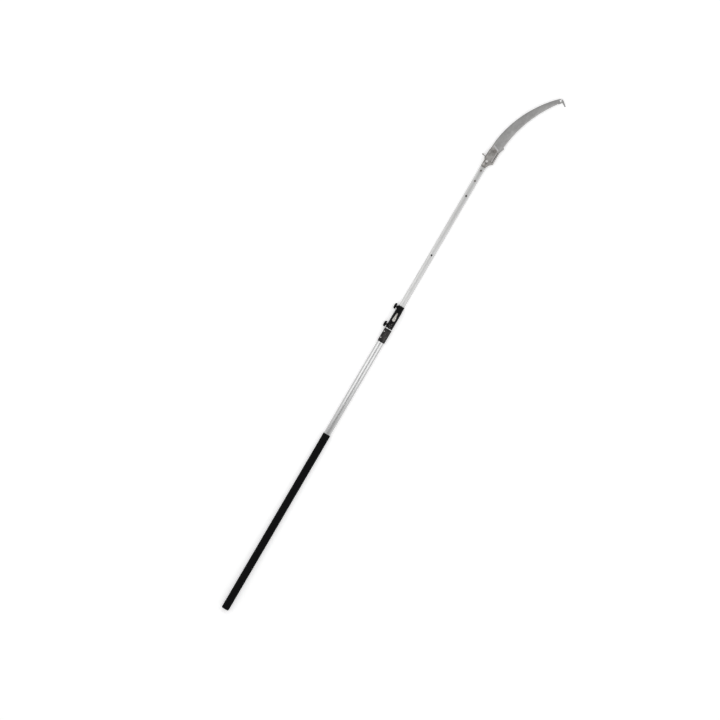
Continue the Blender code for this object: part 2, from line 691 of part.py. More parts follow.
def latch_lever(carrier):
    lever = piece("latch_lever", prism(lever_outline(), LEVER_UNDER, LEVER_TOP), carrier, LEVER_METAL)
    bevelled(lever, LEVER_CHAMFER)
    cut(lever, hinge_rod(HINGE_RADIUS + SEAT, THUMB_RADIUS + OVERLAP), "hinge")
    socket = rod(LOCK_SHANK + SEAT, LEVER_UNDER - OVERLAP, LEVER_UNDER + LOCK_SHANK_DEPTH + SEAT)
    cut(lever, aimed(socket, (LOCK_X, 0, 0)), "socket")
    first, half = LEVER_START + THUMB_RADIUS - GROOVE_PITCH, THUMB_RADIUS + OVERLAP
    ribs = grooves_shape(first, LEVER_GROOVE_COUNT, GROOVE_WIDTH, GROOVE_DEPTH, half, LEVER_TOP)
    cut(lever, ribs, "ribs")


def lock_pin(carrier):
    low, shoulder = INNER_HEIGHT / 2 + SEAT, LEVER_UNDER - SEAT
    rings = [circle(low, LOCK_PIN_TIP), circle(low + LOCK_PIN_CHAMFER, LOCK_PIN_RADIUS)]
    rings += [circle(shoulder, LOCK_PIN_RADIUS), circle(shoulder, LOCK_SHANK)]
    rings += [circle(LEVER_UNDER + LOCK_SHANK_DEPTH, LOCK_SHANK)]
    piece("lock_pin", aimed(loft(rings), (LOCK_X, 0, 0)), carrier, BRIGHT_STEEL)


def latch_hinge_pin(carrier):
    half = CROWN_WIDTH / 2 + CROWN_CHAMFER - HINGE_SUNK
    piece("latch_hinge_pin", hinge_rod(HINGE_RADIUS, half), carrier, BRIGHT_STEEL)


def latch_spring(carrier):
    """A bowed strip whose ends stand on the recess floor and whose crown lifts the lever's thumb end."""
    start = LEVER_START + THUMB_RADIUS - SPRING_LENGTH / 2
    rise = LEVER_UNDER - RECESS_FLOOR - 2 * SEAT - SPRING_THICKNESS
    half = SPRING_WIDTH / 2
    rings = []
    for station in range(SPRING_STATIONS):
        share = station / (SPRING_STATIONS - 1)
        low = RECESS_FLOOR + SEAT + rise * (1 - (2 * share - 1) ** 2)
        corners = [(-half, low), (half, low), (half, low + SPRING_THICKNESS), (-half, low + SPRING_THICKNESS)]
        rings.append([Vector((start + SPRING_LENGTH * share, y, z)) for y, z in corners])
    piece("latch_spring", loft(rings), carrier, SPRING_STEEL)


# Clamps

def thread_insert(name, x, carrier):
    bore, body = CLAMP_SCREW + SEAT, CLAMP_SCREW + SEAT + INSERT_WALL
    low, under = POCKET_END + SEAT, BOSS_FACE + SEAT
    rings = [circle(low, bore), circle(low, body), circle(under, body), circle(under, INSERT_FLANGE)]
    rings += [circle(INSERT_FACE, INSERT_FLANGE), circle(INSERT_FACE, bore)]
    piece(f"thread_insert_{name}", aimed(sleeve(rings), (x, 0, 0), Y), carrier, DARK_STEEL)


def clamp_pad(name, x, carrier):
    blank = aimed(rod(PAD_RADIUS, INNER_WIDTH / 2 - PAD_RADIUS / 2, PAD_BACK), (x, 0, 0), Y)
    pad = piece(f"clamp_pad_{name}", blank, carrier, NATURAL_NYLON)
    reach = PAD_RADIUS + OVERLAP
    cut(pad, loft([on_inner(x - reach, SEAT), on_inner(x + reach, SEAT)]), "hollow")


def clamp_screw(name, x, carrier):
    screw = rod(CLAMP_SCREW, PAD_BACK + SEAT, KNOB_FACE + KNOB_GRIP_DEPTH)
    piece(f"clamp_screw_{name}", aimed(screw, (x, 0, 0), Y), carrier, BRIGHT_STEEL)


def clamp_knob(name, x, carrier):
    root, top = KNOB_FACE + KNOB_HUB_HEIGHT, KNOB_FACE + KNOB_HEIGHT
    rim = root - KNOB_DROP
    floor = KNOB_FACE + KNOB_GRIP_DEPTH + SEAT
    hole = CLAMP_SCREW + SEAT

    def lobed(height, share):
        return circle(height, KNOB_RADIUS * share, KNOB_SIDES, KNOB_LOBE_COUNT, KNOB_SCALLOP * share)

    def plain(height, radius):
        return circle(height, radius, KNOB_SIDES)

    rings = [plain(floor, hole), plain(KNOB_FACE, hole), plain(KNOB_FACE, KNOB_HUB), plain(root, KNOB_HUB)]
    rings += [lobed(rim, KNOB_UNDER_SHARE), lobed(rim, KNOB_LIP_SHARE)]
    rings += [lobed(rim + KNOB_LIP, 1), lobed(rim + KNOB_RIM, 1)]
    rings += [lobed((rim + KNOB_RIM + top) / 2, KNOB_DOME_SHARE), lobed(top - KNOB_LIP, KNOB_TOP_SHARE)]
    rings.append(plain(top, KNOB_CROWN))
    piece(f"clamp_knob_{name}", aimed(loft(rings), (x, 0, 0), Y), carrier, BLACK_NYLON)


# Inner tube and its plug

def tube_stations(start, end, holes):
    """The tube's ends and a place between each two neighbouring holes, so that no facet holds two."""
    between = [(first + second) / 2 for first, second in zip(holes, holes[1:])]
    return [start, *between, end]


def inner_tube(carrier):
    first = LOCK_X - HOLE_LEAD - HOLES_BEHIND_COUNT * HOLE_PITCH
    index_holes = [first + index * HOLE_PITCH for index in range(HOLE_COUNT)]
    stations = tube_stations(INNER_START, INNER_END, sorted([*index_holes, *TUBE_BOLTS.values()]))
    rings = [on_inner(x) for x in stations]
    rings += [on_inner(x, -INNER_WALL) for x in reversed(stations)]
    tube = piece("inner_tube", sleeve(rings), carrier, SATIN_ALUMINIUM)
    radius = LOCK_PIN_RADIUS + HOLE_CLEARANCE
    for index, x in enumerate(index_holes):
        hole = rod(radius, INNER_HEIGHT / 2 - INNER_WALL - OVERLAP, INNER_HEIGHT, INDEX_SIDES)
        cut(tube, aimed(hole, (x, 0, 0)), f"index_{index}")
    for name, x in TUBE_BOLTS.items():
        cut(tube, aimed(rod(TUBE_BOLT + SEAT, -INNER_HEIGHT, INNER_HEIGHT), (x, 0, 0)), f"bolt_{name}")


def inner_tube_guide(carrier):
    flange, spigot = (OUTER_WIDTH - INNER_WIDTH) / 2 - OUTER_WALL - SLIDE_FIT, -INNER_WALL - SEAT
    start, seat = INNER_START - SEAT - GUIDE_FLANGE, INNER_START - SEAT
    end = INNER_START + GUIDE_SPIGOT
    rings = [on_inner(start, flange - GUIDE_EDGE), on_inner(start + GUIDE_EDGE, flange)]
    rings += [on_inner(seat - GUIDE_EDGE, flange), on_inner(seat, flange - GUIDE_EDGE)]
    rings += [on_inner(seat, spigot), on_inner(end, spigot)]
    rings += [on_inner(end, spigot - GUIDE_WALL), on_inner(start, spigot - GUIDE_WALL)]
    piece("inner_tube_guide", sleeve(rings), carrier, NATURAL_NYLON)


# Head

def neck_ring(reach, sunk=0.0):
    """A section of the neck, rounded at the tube and flat-sided where it meets the blade."""
    share = min(1, reach / FLARE_LENGTH)
    half = NECK_ROUND + (CHEEK_HALF - NECK_ROUND) * share
    power = OVAL_POWER + (NECK_POWER - OVAL_POWER) * share
    return oval(HEAD_X + reach, 2 * (NECK_BACK - sunk), 2 * (half - sunk), power=power)


def neck_shape():
    tang = -TANG_INSET
    start = INNER_END - TANG_LENGTH
    rings = [on_inner(start, tang - TANG_CHAMFER), on_inner(start + TANG_CHAMFER, tang)]
    rings += [on_inner(HEAD_X, tang), neck_ring(0), neck_ring(NECK_LIP)]
    end = NECK_LIP + NECK_GROOVE_WIDTH
    for reach in (NECK_LIP + NECK_GROOVE_SLOPE, end - NECK_GROOVE_SLOPE):
        rings.append(neck_ring(reach, NECK_GROOVE_DEPTH))
    spacing = (FLARE_LENGTH - end) / NECK_STATIONS
    rings += [neck_ring(end + spacing * step) for step in range(NECK_STATIONS + 1)]
    return loft(rings + [neck_ring(NECK_LENGTH)])


def web_outline():
    """The thinner web beside the neck, whose edge sweeps out to the tooth side."""
    first = NECK_LIP + NECK_GROOVE_WIDTH + OVERLAP
    end = NECK_END - SEAT
    outline = [(HEAD_X + first, -WEB_INSIDE)]
    for step in range(FLARE_STATIONS + 1):
        reach = first + (FLARE_LENGTH - first) * step / FLARE_STATIONS
        flare = NECK_BACK + (FLARE_FRONT + OVERLAP - NECK_BACK) * (reach / FLARE_LENGTH) ** FLARE_POWER
        outline.append((HEAD_X + reach, -flare))
    return outline + [(end, -FLARE_FRONT - OVERLAP), (end, -WEB_INSIDE)]


def cheek_edge(start, start_back, setback=0.0, end_setback=0.0):
    """Corners that the cheek and its cover share, from the back edge round the slanting front."""
    hump = NECK_END + HUMP_RUN
    fall = hump + HUMP_LENGTH
    reach = HEAD_X + CHEEK_REACH
    corners = [(start, start_back, 0), (hump, HUMP_BACK, CHEEK_CORNER)]
    corners.append((fall, HUMP_BACK - HUMP_FALL, CHEEK_CORNER))
    corners.append((fall + HUMP_RUN, CHEEK_BACK + HUMP_FALL / 2, CHEEK_CORNER))
    corners.append((reach - setback, CHEEK_BACK, CHEEK_CORNER))
    return corners + [(reach - CHEEK_SLANT - end_setback, -FLARE_FRONT, CHEEK_CORNER)]


def rail_outline():
    start = HEAD_X + FLARE_LENGTH
    end = start + RAIL_LENGTH
    low, high = -FLARE_FRONT - RAIL_WIDTH, -FLARE_FRONT
    return rounded([(start, low, RAIL_CORNER), (end, low, RAIL_CORNER), (end, high, 0), (start, high, 0)])


def rear_bolt_place():
    return Vector((HEAD_X + REAR_BOLT_REACH, -REAR_BOLT_DROP, 0))


def front_bolt_place():
    return Vector((HEAD_X + FRONT_BOLT_REACH, -FRONT_BOLT_DROP, 0))


def stud_place():
    """Where the stud's axis leaves the cheek's back edge, half way through the cheek."""
    return Vector((HEAD_X + STUD_REACH, HUMP_BACK, -(CHEEK_HALF + COVER_UNDER) / 2))


def stud_direction():
    return Vector((math.sin(STUD_LEAN), math.cos(STUD_LEAN), 0))


def head_casting(carrier):
    casting = piece("head_casting", neck_shape(), carrier, GREY_CASTING)
    join(casting, prism(web_outline(), CHEEK_CHAMFER - CHEEK_HALF, WEB_TOP), "web")
    inside = NECK_END - HUMP_RUN
    plate = rounded(cheek_edge(inside, NECK_BACK - OVERLAP) + [(inside, -FLARE_FRONT, 0)])
    bevelled(join(casting, prism(plate, -CHEEK_HALF, -COVER_UNDER), "cheek"), CHEEK_CHAMFER)
    bevelled(join(casting, prism(rail_outline(), -CHEEK_HALF, RAIL_LIFT), "rail"), CHEEK_CHAMFER)
    start, half = NECK_END - TONGUE_LENGTH, TONGUE_WIDTH / 2 + SEAT
    mortise = block((start - SEAT, -half, -COVER_UNDER), (NECK_END + OVERLAP, half, COVER_UNDER))
    cut(casting, mortise, "mortise")
    for name, x in TUBE_BOLTS.items():
        cut(casting, aimed(rod(TUBE_BOLT + SEAT, -INNER_HEIGHT, INNER_HEIGHT), (x, 0, 0)), f"bolt_{name}")
    through = CHEEK_HALF + OVERLAP
    cut(casting, aimed(rod(REAR_BOLT + SEAT, -through, through), rear_bolt_place()), "rear")
    cut(casting, aimed(rod(FRONT_BOLT + SEAT, -through, through), front_bolt_place()), "front")
    socket = rod(STUD_RADIUS + SEAT, -STUD_DEPTH - SEAT, OVERLAP)
    cut(casting, aimed(socket, stud_place(), stud_direction()), "stud")


def blade_cover(carrier):
    def outline(bevel, bevel_end, hem):
        start, low = NECK_END + SEAT, -FLARE_FRONT + SEAT + hem
        back = NECK_BACK + COVER_STEP
        *edge, front = cheek_edge(start, back, bevel, bevel_end)
        corners = [*edge, (front[0], low, CHEEK_CORNER), (start, low, CHEEK_CORNER)]
        return rounded(corners, COVER_CORNER_STEPS)

    top_outline = outline(COVER_BEVEL, COVER_BEVEL_END, COVER_HEM)
    shape = prism(outline(0, 0, 0), COVER_UNDER, COVER_TOP, top_outline)
    cover = piece("blade_cover", shape, carrier, GREY_CASTING)
    bevelled(cover, COVER_EDGE)
    hole = rod(FRONT_BOLT + SEAT, COVER_UNDER - OVERLAP, COVER_TOP + OVERLAP)
    cut(cover, aimed(hole, front_bolt_place()), "bolt")


# Blade

def blade_centre():
    heel = Vector((HEAD_X + HEEL_REACH, -HEEL_DROP))
    return heel - TOOTH_RADIUS * Vector((math.sin(HEEL_ANGLE), math.cos(HEEL_ANGLE)))


def on_blade(angle, radius):
    centre = blade_centre()
    return centre.x + radius * math.sin(angle), centre.y + radius * math.cos(angle)


def blade_angles():
    """Angles round the tooth arc's centre: first tooth, last tooth and the blade's end."""
    last = HEEL_ANGLE + TOOTHED_LENGTH / TOOTH_RADIUS
    return HEEL_ANGLE, last, last + (LAND_LENGTH + HOOK_WIDTH) / TOOTH_RADIUS


def back_radius(angle):
    first, _, end = blade_angles()
    share = max(0.0, (angle - first) / (end - first))
    return TOOTH_RADIUS + HEEL_WIDTH - (HEEL_WIDTH - TIP_WIDTH) * share ** WIDTH_POWER


def tooth_points(far_face):
    """Teeth that cut on the pull, from the tip back to the heel. Neighbours are ground on opposite faces."""
    first, last, _ = blade_angles()
    root, tip = TOOTH_RADIUS + TOOTH_DEPTH / 2, TOOTH_RADIUS - TOOTH_DEPTH / 2
    pitch = (last - first) / TOOTH_COUNT
    points = []
    for tooth in reversed(range(TOOTH_COUNT)):
        start = first + tooth * pitch
        ground = TOOTH_BEVEL if (tooth % 2 == 0) == far_face else 0
        points.append(on_blade(start + pitch, root))
        points.append(on_blade(start + pitch * TOOTH_FACET, tip + FACET_DEPTH + ground))
        points.append(on_blade(start + pitch * TOOTH_RAKE, tip + ground))
    return points + [on_blade(first, root)]


def blade_outline(far_face):
    first, last, end = blade_angles()
    tip = TOOTH_RADIUS - TOOTH_DEPTH / 2
    shoulder = NECK_END + SEAT
    start = math.asin((shoulder - blade_centre().x) / back_radius(0))
    stop = end - HOOK_CORNER_RUN / TOOTH_RADIUS
    stations = [start + (stop - start) * step / BACK_STATIONS for step in range(BACK_STATIONS + 1)]
    corners = [(*on_blade(angle, back_radius(angle)), 0) for angle in stations]
    hook_root = end - HOOK_WIDTH / TOOTH_RADIUS
    hook_tip = end - HOOK_TIP_WIDTH / TOOTH_RADIUS
    corners += [(*on_blade(end, back_radius(end)), HOOK_CORNER), (*on_blade(end, tip - HOOK_DEPTH), HOOK_NIB)]
    corners += [(*on_blade(hook_tip, tip - HOOK_DEPTH), HOOK_NIB), (*on_blade(hook_root, tip), HOOK_NIB)]
    corners.append((*on_blade(last + LAND_STEP / TOOTH_RADIUS, tip), 0))
    corners += [(*point, 0) for point in tooth_points(far_face)]
    heel_x = HEAD_X + HEEL_REACH - HEEL_LENGTH
    rail_end = HEAD_X + FLARE_LENGTH + RAIL_LENGTH + SEAT
    tang_edge = -FLARE_FRONT + 2 * SEAT
    corners += [(heel_x, -HEEL_DROP - HEEL_DEPTH, 0), (rail_end, -FLARE_FRONT - RAIL_WIDTH, 0)]
    corners += [(rail_end, tang_edge, 0), (shoulder, tang_edge, 0)]
    tongue = NECK_END - TONGUE_LENGTH
    half = TONGUE_WIDTH / 2
    corners += [(shoulder, -half, 0), (tongue, -half, HOOK_NIB)]
    corners += [(tongue, half, HOOK_NIB), (shoulder, half, 0)]
    return rounded(corners)


def tip_slot():
    """The slot beside the hook, as a capsule across the blade."""
    end = blade_angles()[2]
    radius = TIP_SLOT_WIDTH / 2
    angle = end - (TIP_SLOT_INSET + radius) / TOOTH_RADIUS
    low = TOOTH_RADIUS - TOOTH_DEPTH / 2 + TIP_SLOT_LAND + radius
    near = on_blade(angle, low)
    far = on_blade(angle, low + TIP_SLOT_LENGTH - TIP_SLOT_WIDTH)
    facing = math.pi / 2 - angle
    outline = arc(far, radius, facing - math.pi / 2, facing + math.pi / 2)
    outline += arc(near, radius, facing + math.pi / 2, facing + 3 * math.pi / 2)
    return prism(outline, -BLADE_THICKNESS, BLADE_THICKNESS)


def grind(shape):
    """Thins the blade from its teeth to its back, past the head."""
    centre = blade_centre()
    for point in shape.verts:
        run = (point.co.x - HEAD_X - CHEEK_REACH) / GRIND_RUN
        depth = (Vector(point.co[:2]) - centre).length - TOOTH_RADIUS
        share = max(0, min(1, run)) * max(0, min(1, depth / HEEL_WIDTH))
        point.co.z *= 1 - share * (1 - BACK_THICKNESS / BLADE_THICKNESS)
    return shape


def blade(carrier):
    shape = prism(blade_outline(True), -BLADE_TOP, BLADE_TOP, blade_outline(False))
    bmesh.ops.recalc_face_normals(shape, faces=shape.faces)
    bmesh.ops.triangulate(shape, faces=shape.faces, ngon_method="BEAUTY")
    saw = piece("blade", grind(shape), carrier, BLADE_STEEL)
    cut(saw, tip_slot(), "slot")
    cut(saw, aimed(rod(REAR_BOLT + SEAT, -BLADE_THICKNESS, BLADE_THICKNESS), rear_bolt_place()), "rear")
    cut(saw, aimed(rod(FRONT_BOLT + SEAT, -BLADE_THICKNESS, BLADE_THICKNESS), front_bolt_place()), "front")


# Fasteners

def bolt(name, place, radius, head, head_height, seat_height, low, carrier, finish):
    """A domed bolt with a hex socket, hanging from its seat."""
    under, top = seat_height + SEAT, seat_height + SEAT + head_height
    rings = [circle(low, radius), circle(under, radius), circle(under, head)]
    rings += [circle(under + head_height * HEAD_SIDE_SHARE, head), circle(top, head * HEAD_CROWN_SHARE)]
    thing = piece(name, aimed(loft(rings), place), carrier, finish)
    depth = head_height * SOCKET_DEPTH_SHARE
    cut(thing, aimed(rod(head * SOCKET_SHARE, top - depth, top + OVERLAP, 6), place), "socket")


def nut(name, place, radius, hole, height, seat_height, carrier, finish):
    """A hex nut against the far side of what it holds."""
    high = -seat_height - SEAT
    low = high - height
    shape = loft([circle(low, radius, 6), circle(high, radius, 6)])
    thing = piece(name, aimed(shape, place), carrier, finish)
    cut(thing, aimed(rod(hole + SEAT, low - OVERLAP, high + OVERLAP), place), "bore")


def tube_fasteners(carrier):
    low = -INNER_HEIGHT / 2 - 2 * SEAT - TUBE_NUT_HEIGHT
    for name, x in TUBE_BOLTS.items():
        place = Vector((x, 0, 0))
        bolt(f"tube_bolt_{name}", place, TUBE_BOLT, TUBE_BOLT_HEAD, TUBE_BOLT_HEAD_HEIGHT,
             INNER_HEIGHT / 2, low, carrier, DARK_STEEL)
        nut(f"tube_nut_{name}", place, TUBE_NUT, TUBE_BOLT, TUBE_NUT_HEIGHT,
            INNER_HEIGHT / 2, carrier, DARK_STEEL)


def blade_fasteners(carrier):
    low = -REST_HEIGHT
    place = rear_bolt_place()
    bolt("blade_bolt_rear", place, REAR_BOLT, REAR_BOLT_HEAD, REAR_BOLT_HEAD_HEIGHT,
         CHEEK_HALF, low, carrier, BRIGHT_STEEL)
    nut("blade_nut_rear", place, REAR_NUT, REAR_BOLT, REAR_NUT_HEIGHT, CHEEK_HALF, carrier, BRIGHT_STEEL)
    place = front_bolt_place()
    bolt("blade_bolt_front", place, FRONT_BOLT, FRONT_BOLT_HEAD, FRONT_BOLT_HEAD_HEIGHT,
         COVER_TOP, low, carrier, DARK_STEEL)
    nut("blade_nut_front", place, FRONT_NUT, FRONT_BOLT, FRONT_NUT_HEIGHT, CHEEK_HALF, carrier, DARK_STEEL)


def scabbard_stud(carrier):
    out = STUD_OUT + STUD_HEAD_HEIGHT
    rings = [circle(-STUD_DEPTH, STUD_RADIUS), circle(STUD_OUT, STUD_RADIUS)]
    rings += [circle(STUD_OUT, STUD_UNDER), circle(STUD_OUT + STUD_EDGE, STUD_HEAD)]
    rings += [circle(out - STUD_EDGE, STUD_HEAD), circle(out, STUD_TOP)]
    piece("scabbard_stud", aimed(loft(rings), stud_place(), stud_direction()), carrier, BRIGHT_STEEL)


# Assembly

def clear_scene():
    for thing in list(bpy.data.objects):
        bpy.data.objects.remove(thing, do_unlink=True)


def rest_on_floor(pole):
    """Moves the pole so that the middle of its footprint is the origin."""
    bpy.context.view_layer.update()
    depsgraph = bpy.context.evaluated_depsgraph_get()
    corners = []
    for thing in bpy.data.objects:
        if thing.type == "MESH" and not thing.hide_render:
            shown = thing.evaluated_get(depsgraph)
            corners += [shown.matrix_world @ point.co for point in shown.data.vertices]
    low = [min(point[axis] for point in corners) for axis in range(3)]
    high = [max(point[axis] for point in corners) for axis in range(3)]
    pole.location = (-(low[0] + high[0]) / 2, -(low[1] + high[1]) / 2, -low[2])


def build():
    clear_scene()
    pole = pivot("pole", (0, 0, 0))
    outer_tube(pole)
    grip_sleeve(pole)
    end_cap(pole)
    collar_sleeve(pole)
    collar_screws(pole)
    lock_housing(pole)
    wiper_ring(pole)
    latch_hinge_pin(pole)
    latch_spring(pole)
    latch = pivot("latch_axis", (HINGE_X, 0, HINGE_Z), pole)
    latch_lever(latch)
    lock_pin(latch)
    for name, x in CLAMPS.items():
        thread_insert(name, x, pole)
        clamp = pivot(f"clamp_axis_{name}", (x, BOSS_FACE, 0), pole)
        clamp_pad(name, x, clamp)
        clamp_screw(name, x, clamp)
        clamp_knob(name, x, clamp)
    slide = pivot("slide_axis", (HOUSING_END, 0, 0), pole)
    inner_tube(slide)
    inner_tube_guide(slide)
    head_casting(slide)
    blade_cover(slide)
    blade(slide)
    tube_fasteners(slide)
    blade_fasteners(slide)
    scabbard_stud(slide)
    rest_on_floor(pole)


build()
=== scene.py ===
import math

import bmesh
import bpy
from mathutils import Matrix, Vector


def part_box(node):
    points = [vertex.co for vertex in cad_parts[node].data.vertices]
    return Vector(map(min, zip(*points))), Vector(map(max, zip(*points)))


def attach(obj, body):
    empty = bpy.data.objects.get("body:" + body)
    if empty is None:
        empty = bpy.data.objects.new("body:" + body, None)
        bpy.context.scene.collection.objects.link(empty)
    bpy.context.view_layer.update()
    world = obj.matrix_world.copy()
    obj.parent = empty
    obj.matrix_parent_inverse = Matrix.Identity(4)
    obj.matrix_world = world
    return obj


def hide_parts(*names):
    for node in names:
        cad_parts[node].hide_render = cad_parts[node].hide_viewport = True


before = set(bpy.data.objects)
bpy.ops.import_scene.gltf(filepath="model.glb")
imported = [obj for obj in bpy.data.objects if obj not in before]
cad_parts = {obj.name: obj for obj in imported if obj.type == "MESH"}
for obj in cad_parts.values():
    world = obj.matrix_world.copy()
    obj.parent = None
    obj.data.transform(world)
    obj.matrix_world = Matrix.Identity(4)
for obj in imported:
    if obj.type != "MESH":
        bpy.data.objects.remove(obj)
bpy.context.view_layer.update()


# Outer tube. A plain oval tube drawn in aluminium and bright anodised, which carries the grip, the cap, the
# collar and the lock. Drawing leaves faint lines along it, and leaning and sliding leave small scuffs.

MM = 0.001
TURN = 2 * math.pi
AXIS_Y = sum(corner.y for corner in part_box("outer_tube")) / 2
AXIS_Z = sum(corner.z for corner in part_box("outer_tube")) / 2
BUTT_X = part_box("end_cap")[0].x
POLE = Vector((BUTT_X, AXIS_Y, AXIS_Z))   # shapes are drawn in millimetres from here, the axis at the butt
OVAL_POWER = 2.4                          # 2 is an ellipse, more is squarer
OVAL_SIDES = 120
VALLEY_POWER = 0.6                        # under 1 makes the valleys wider than the ribs
CORNER_STEPS = 4
SHARP_ANGLE = math.radians(32)
OUTER_SIZE = (32.8, 26.4)
OUTER_WALL = 1.2
TUBE_EDGE = 0.25


def span(node):
    """Where a CAD node starts and ends along the pole, in millimetres from the butt."""
    low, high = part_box(node)
    return (low.x - BUTT_X) / MM, (high.x - BUTT_X) / MM


def oval(x, size, gap=0.0, sides=OVAL_SIDES, ribs=0, depth=0.0):
    """A ring across the pole, a gap outside the oval of that width and height, with valleys between ribs."""
    points = []
    for side in range(sides):
        angle = TURN * (side + 0.5) / sides
        across, up = math.cos(angle), math.sin(angle)
        reach = gap - depth * (0.5 - 0.5 * math.cos(ribs * angle)) ** VALLEY_POWER
        y = (size[0] / 2 + reach) * math.copysign(abs(across) ** (2 / OVAL_POWER), across)
        z = (size[1] / 2 + reach) * math.copysign(abs(up) ** (2 / OVAL_POWER), up)
        points.append(Vector((x, y, z)))
    return points


def rounded(corners):
    """An outline through (x, y, radius) corners, each turned by an arc of its radius."""
    outline = []
    for index, (x, y, radius) in enumerate(corners):
        corner = Vector((x, y))
        back = (Vector(corners[index - 1][:2]) - corner).normalized()
        ahead = (Vector(corners[(index + 1) % len(corners)][:2]) - corner).normalized()
        half = back.angle(ahead) / 2
        middle = corner + (back + ahead).normalized() * radius / math.sin(half)
        start = corner + back * radius / math.tan(half) - middle
        end = corner + ahead * radius / math.tan(half) - middle
        first = math.atan2(start.y, start.x)
        sweep = (math.atan2(end.y, end.x) - first + math.pi) % TURN - math.pi
        for step in range(CORNER_STEPS + 1):
            angle = first + sweep * step / CORNER_STEPS
            outline.append((middle.x + radius * math.cos(angle), middle.y + radius * math.sin(angle)))
    return outline


def wall_outline(node, outside, inside, edge):
    """The section through a sleeve's wall: places along the pole, with their gaps from the oval."""
    start, end = span(node)
    corners = ((start, outside), (end, outside), (end, inside), (start, inside))
    return rounded([(x, gap, edge) for x, gap in corners])


def skin(rings, hollow=False):
    """A closed solid through the rings: back to the first when hollow, or else with a face at each end."""
    shape = bmesh.new()
    loops = [[shape.verts.new(point) for point in points] for points in rings]
    following = loops[1:] + loops[:1] if hollow else loops[1:]
    for first, second in zip(loops, following):
        for side in range(len(first)):
            shape.faces.new((first[side - 1], first[side], second[side], second[side - 1]))
    if not hollow:
        shape.faces.new(loops[0])
        shape.faces.new(loops[-1])
    return shape


def sleeve(size, outline):
    """A sleeve round an oval, from the section through its wall."""
    return skin([oval(x, size, gap) for x, gap in outline], hollow=True)


def place_piece(name, shape, body, slot, finishes, *replaced):
    """Moves a shape from the pole to the frame, and fixes it to its body in place of its CAD nodes."""
    bmesh.ops.recalc_face_normals(shape, faces=shape.faces)
    shape.transform(Matrix.Translation(POLE) @ Matrix.Scale(MM, 4))
    mesh = bpy.data.meshes.new(name)
    shape.to_mesh(mesh)
    shape.free()
    mesh.shade_smooth()
    mesh.set_sharp_from_angle(angle=SHARP_ANGLE)
    piece = bpy.data.objects.new(name, mesh)
    bpy.context.scene.collection.objects.link(piece)
    for finish in finishes:
        mesh.materials.append(finish)
    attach(piece, body)
    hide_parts(*replaced)


class Wire:
    """A socket in a material, with sums that add Math nodes and one method for every other node."""

    def __init__(self, tree, socket=None):
        self.tree = tree
        self.socket = socket

    def node(self, kind, settings, sockets, output=0):
        """A new node of that kind: its settings first, then the values or wires of its sockets."""
        made = self.tree.nodes.new("ShaderNode" + kind)
        for name, value in settings.items():
            setattr(made, name, value)
        for name, value in sockets.items():
            if isinstance(value, Wire):
                self.tree.links.new(value.socket, made.inputs[name])
            else:
                made.inputs[name].default_value = value
        return Wire(self.tree, made.outputs[output])

    def maths(self, operation, first, second):
        return self.node("Math", {"operation": operation}, {0: first, 1: second})

    def __add__(self, other):
        return self.maths("ADD", self, other)

    def __radd__(self, other):
        return self.maths("ADD", other, self)

    def __sub__(self, other):
        return self.maths("SUBTRACT", self, other)

    def __rsub__(self, other):
        return self.maths("SUBTRACT", other, self)

    def __mul__(self, other):
        return self.maths("MULTIPLY", self, other)

    def __rmul__(self, other):
        return self.maths("MULTIPLY", other, self)

    def swing(self, amount):
        """This noise about its middle, grown to that amount."""
        return (self - 0.5) * amount

    def between(self, low, high):
        """0 below low, 1 above high, and a smooth rise between them."""
        return self.node("MapRange", {"interpolation_type": "SMOOTHSTEP"}, {0: self, 1: low, 2: high})

    def colours(self, low, high):
        """The low colour where this is 0 and the high one where it is 1."""
        ends = [end if isinstance(end, Wire) else (*end, 1) for end in (low, high)]
        return self.node("Mix", {"data_type": "RGBA"}, {0: self, 6: ends[0], 7: ends[1]}, 2)

    def grain(self, stretch, detail=3.0, roughness=0.6):
        """Noise over this place, with so many cells to a millimetre along, across and up."""
        stretched = self.node("VectorMath", {"operation": "MULTIPLY"}, {0: self, 1: stretch})
        settings = {"noise_dimensions": "3D", "noise_type": "FBM", "normalize": True}
        sockets = {"Vector": stretched, "Scale": 1.0, "Detail": detail, "Roughness": roughness}
        return self.node("TexNoise", settings, sockets)

    def axis(self, name):
        return self.node("SeparateXYZ", {}, {0: self}, name)


def begin_finish(name, roughness, metallic, specular=0.5):
    """A new material, its shader, and a wire with the piece's own place in millimetres from the butt."""
    finish = bpy.data.materials.new(name)
    finish.use_nodes = True
    shader = finish.node_tree.nodes["Principled BSDF"]
    shader.inputs["Roughness"].default_value = roughness
    shader.inputs["Metallic"].default_value = metallic
    shader.inputs["Specular IOR Level"].default_value = specular
    own = Wire(finish.node_tree).node("TexCoord", {}, {}, "Object")
    butt = tuple(-value / MM for value in POLE)
    place = own.node("VectorMath", {"operation": "MULTIPLY_ADD"}, {0: own, 1: (1 / MM,) * 3, 2: butt})
    return finish, shader, place


def wire_up(shader, height=None, depth=0.0, **varied):
    """Joins what varies to the shader, with a bump of that depth in millimetres from the height."""
    for name, wire in varied.items():
        wire.tree.links.new(wire.socket, shader.inputs[name.replace("_", " ").title()])
    if height is not None:
        bump = height.node("Bump", {}, {"Height": height, "Strength": 1.0, "Distance": depth * MM})
        bump.tree.links.new(bump.socket, shader.inputs["Normal"])


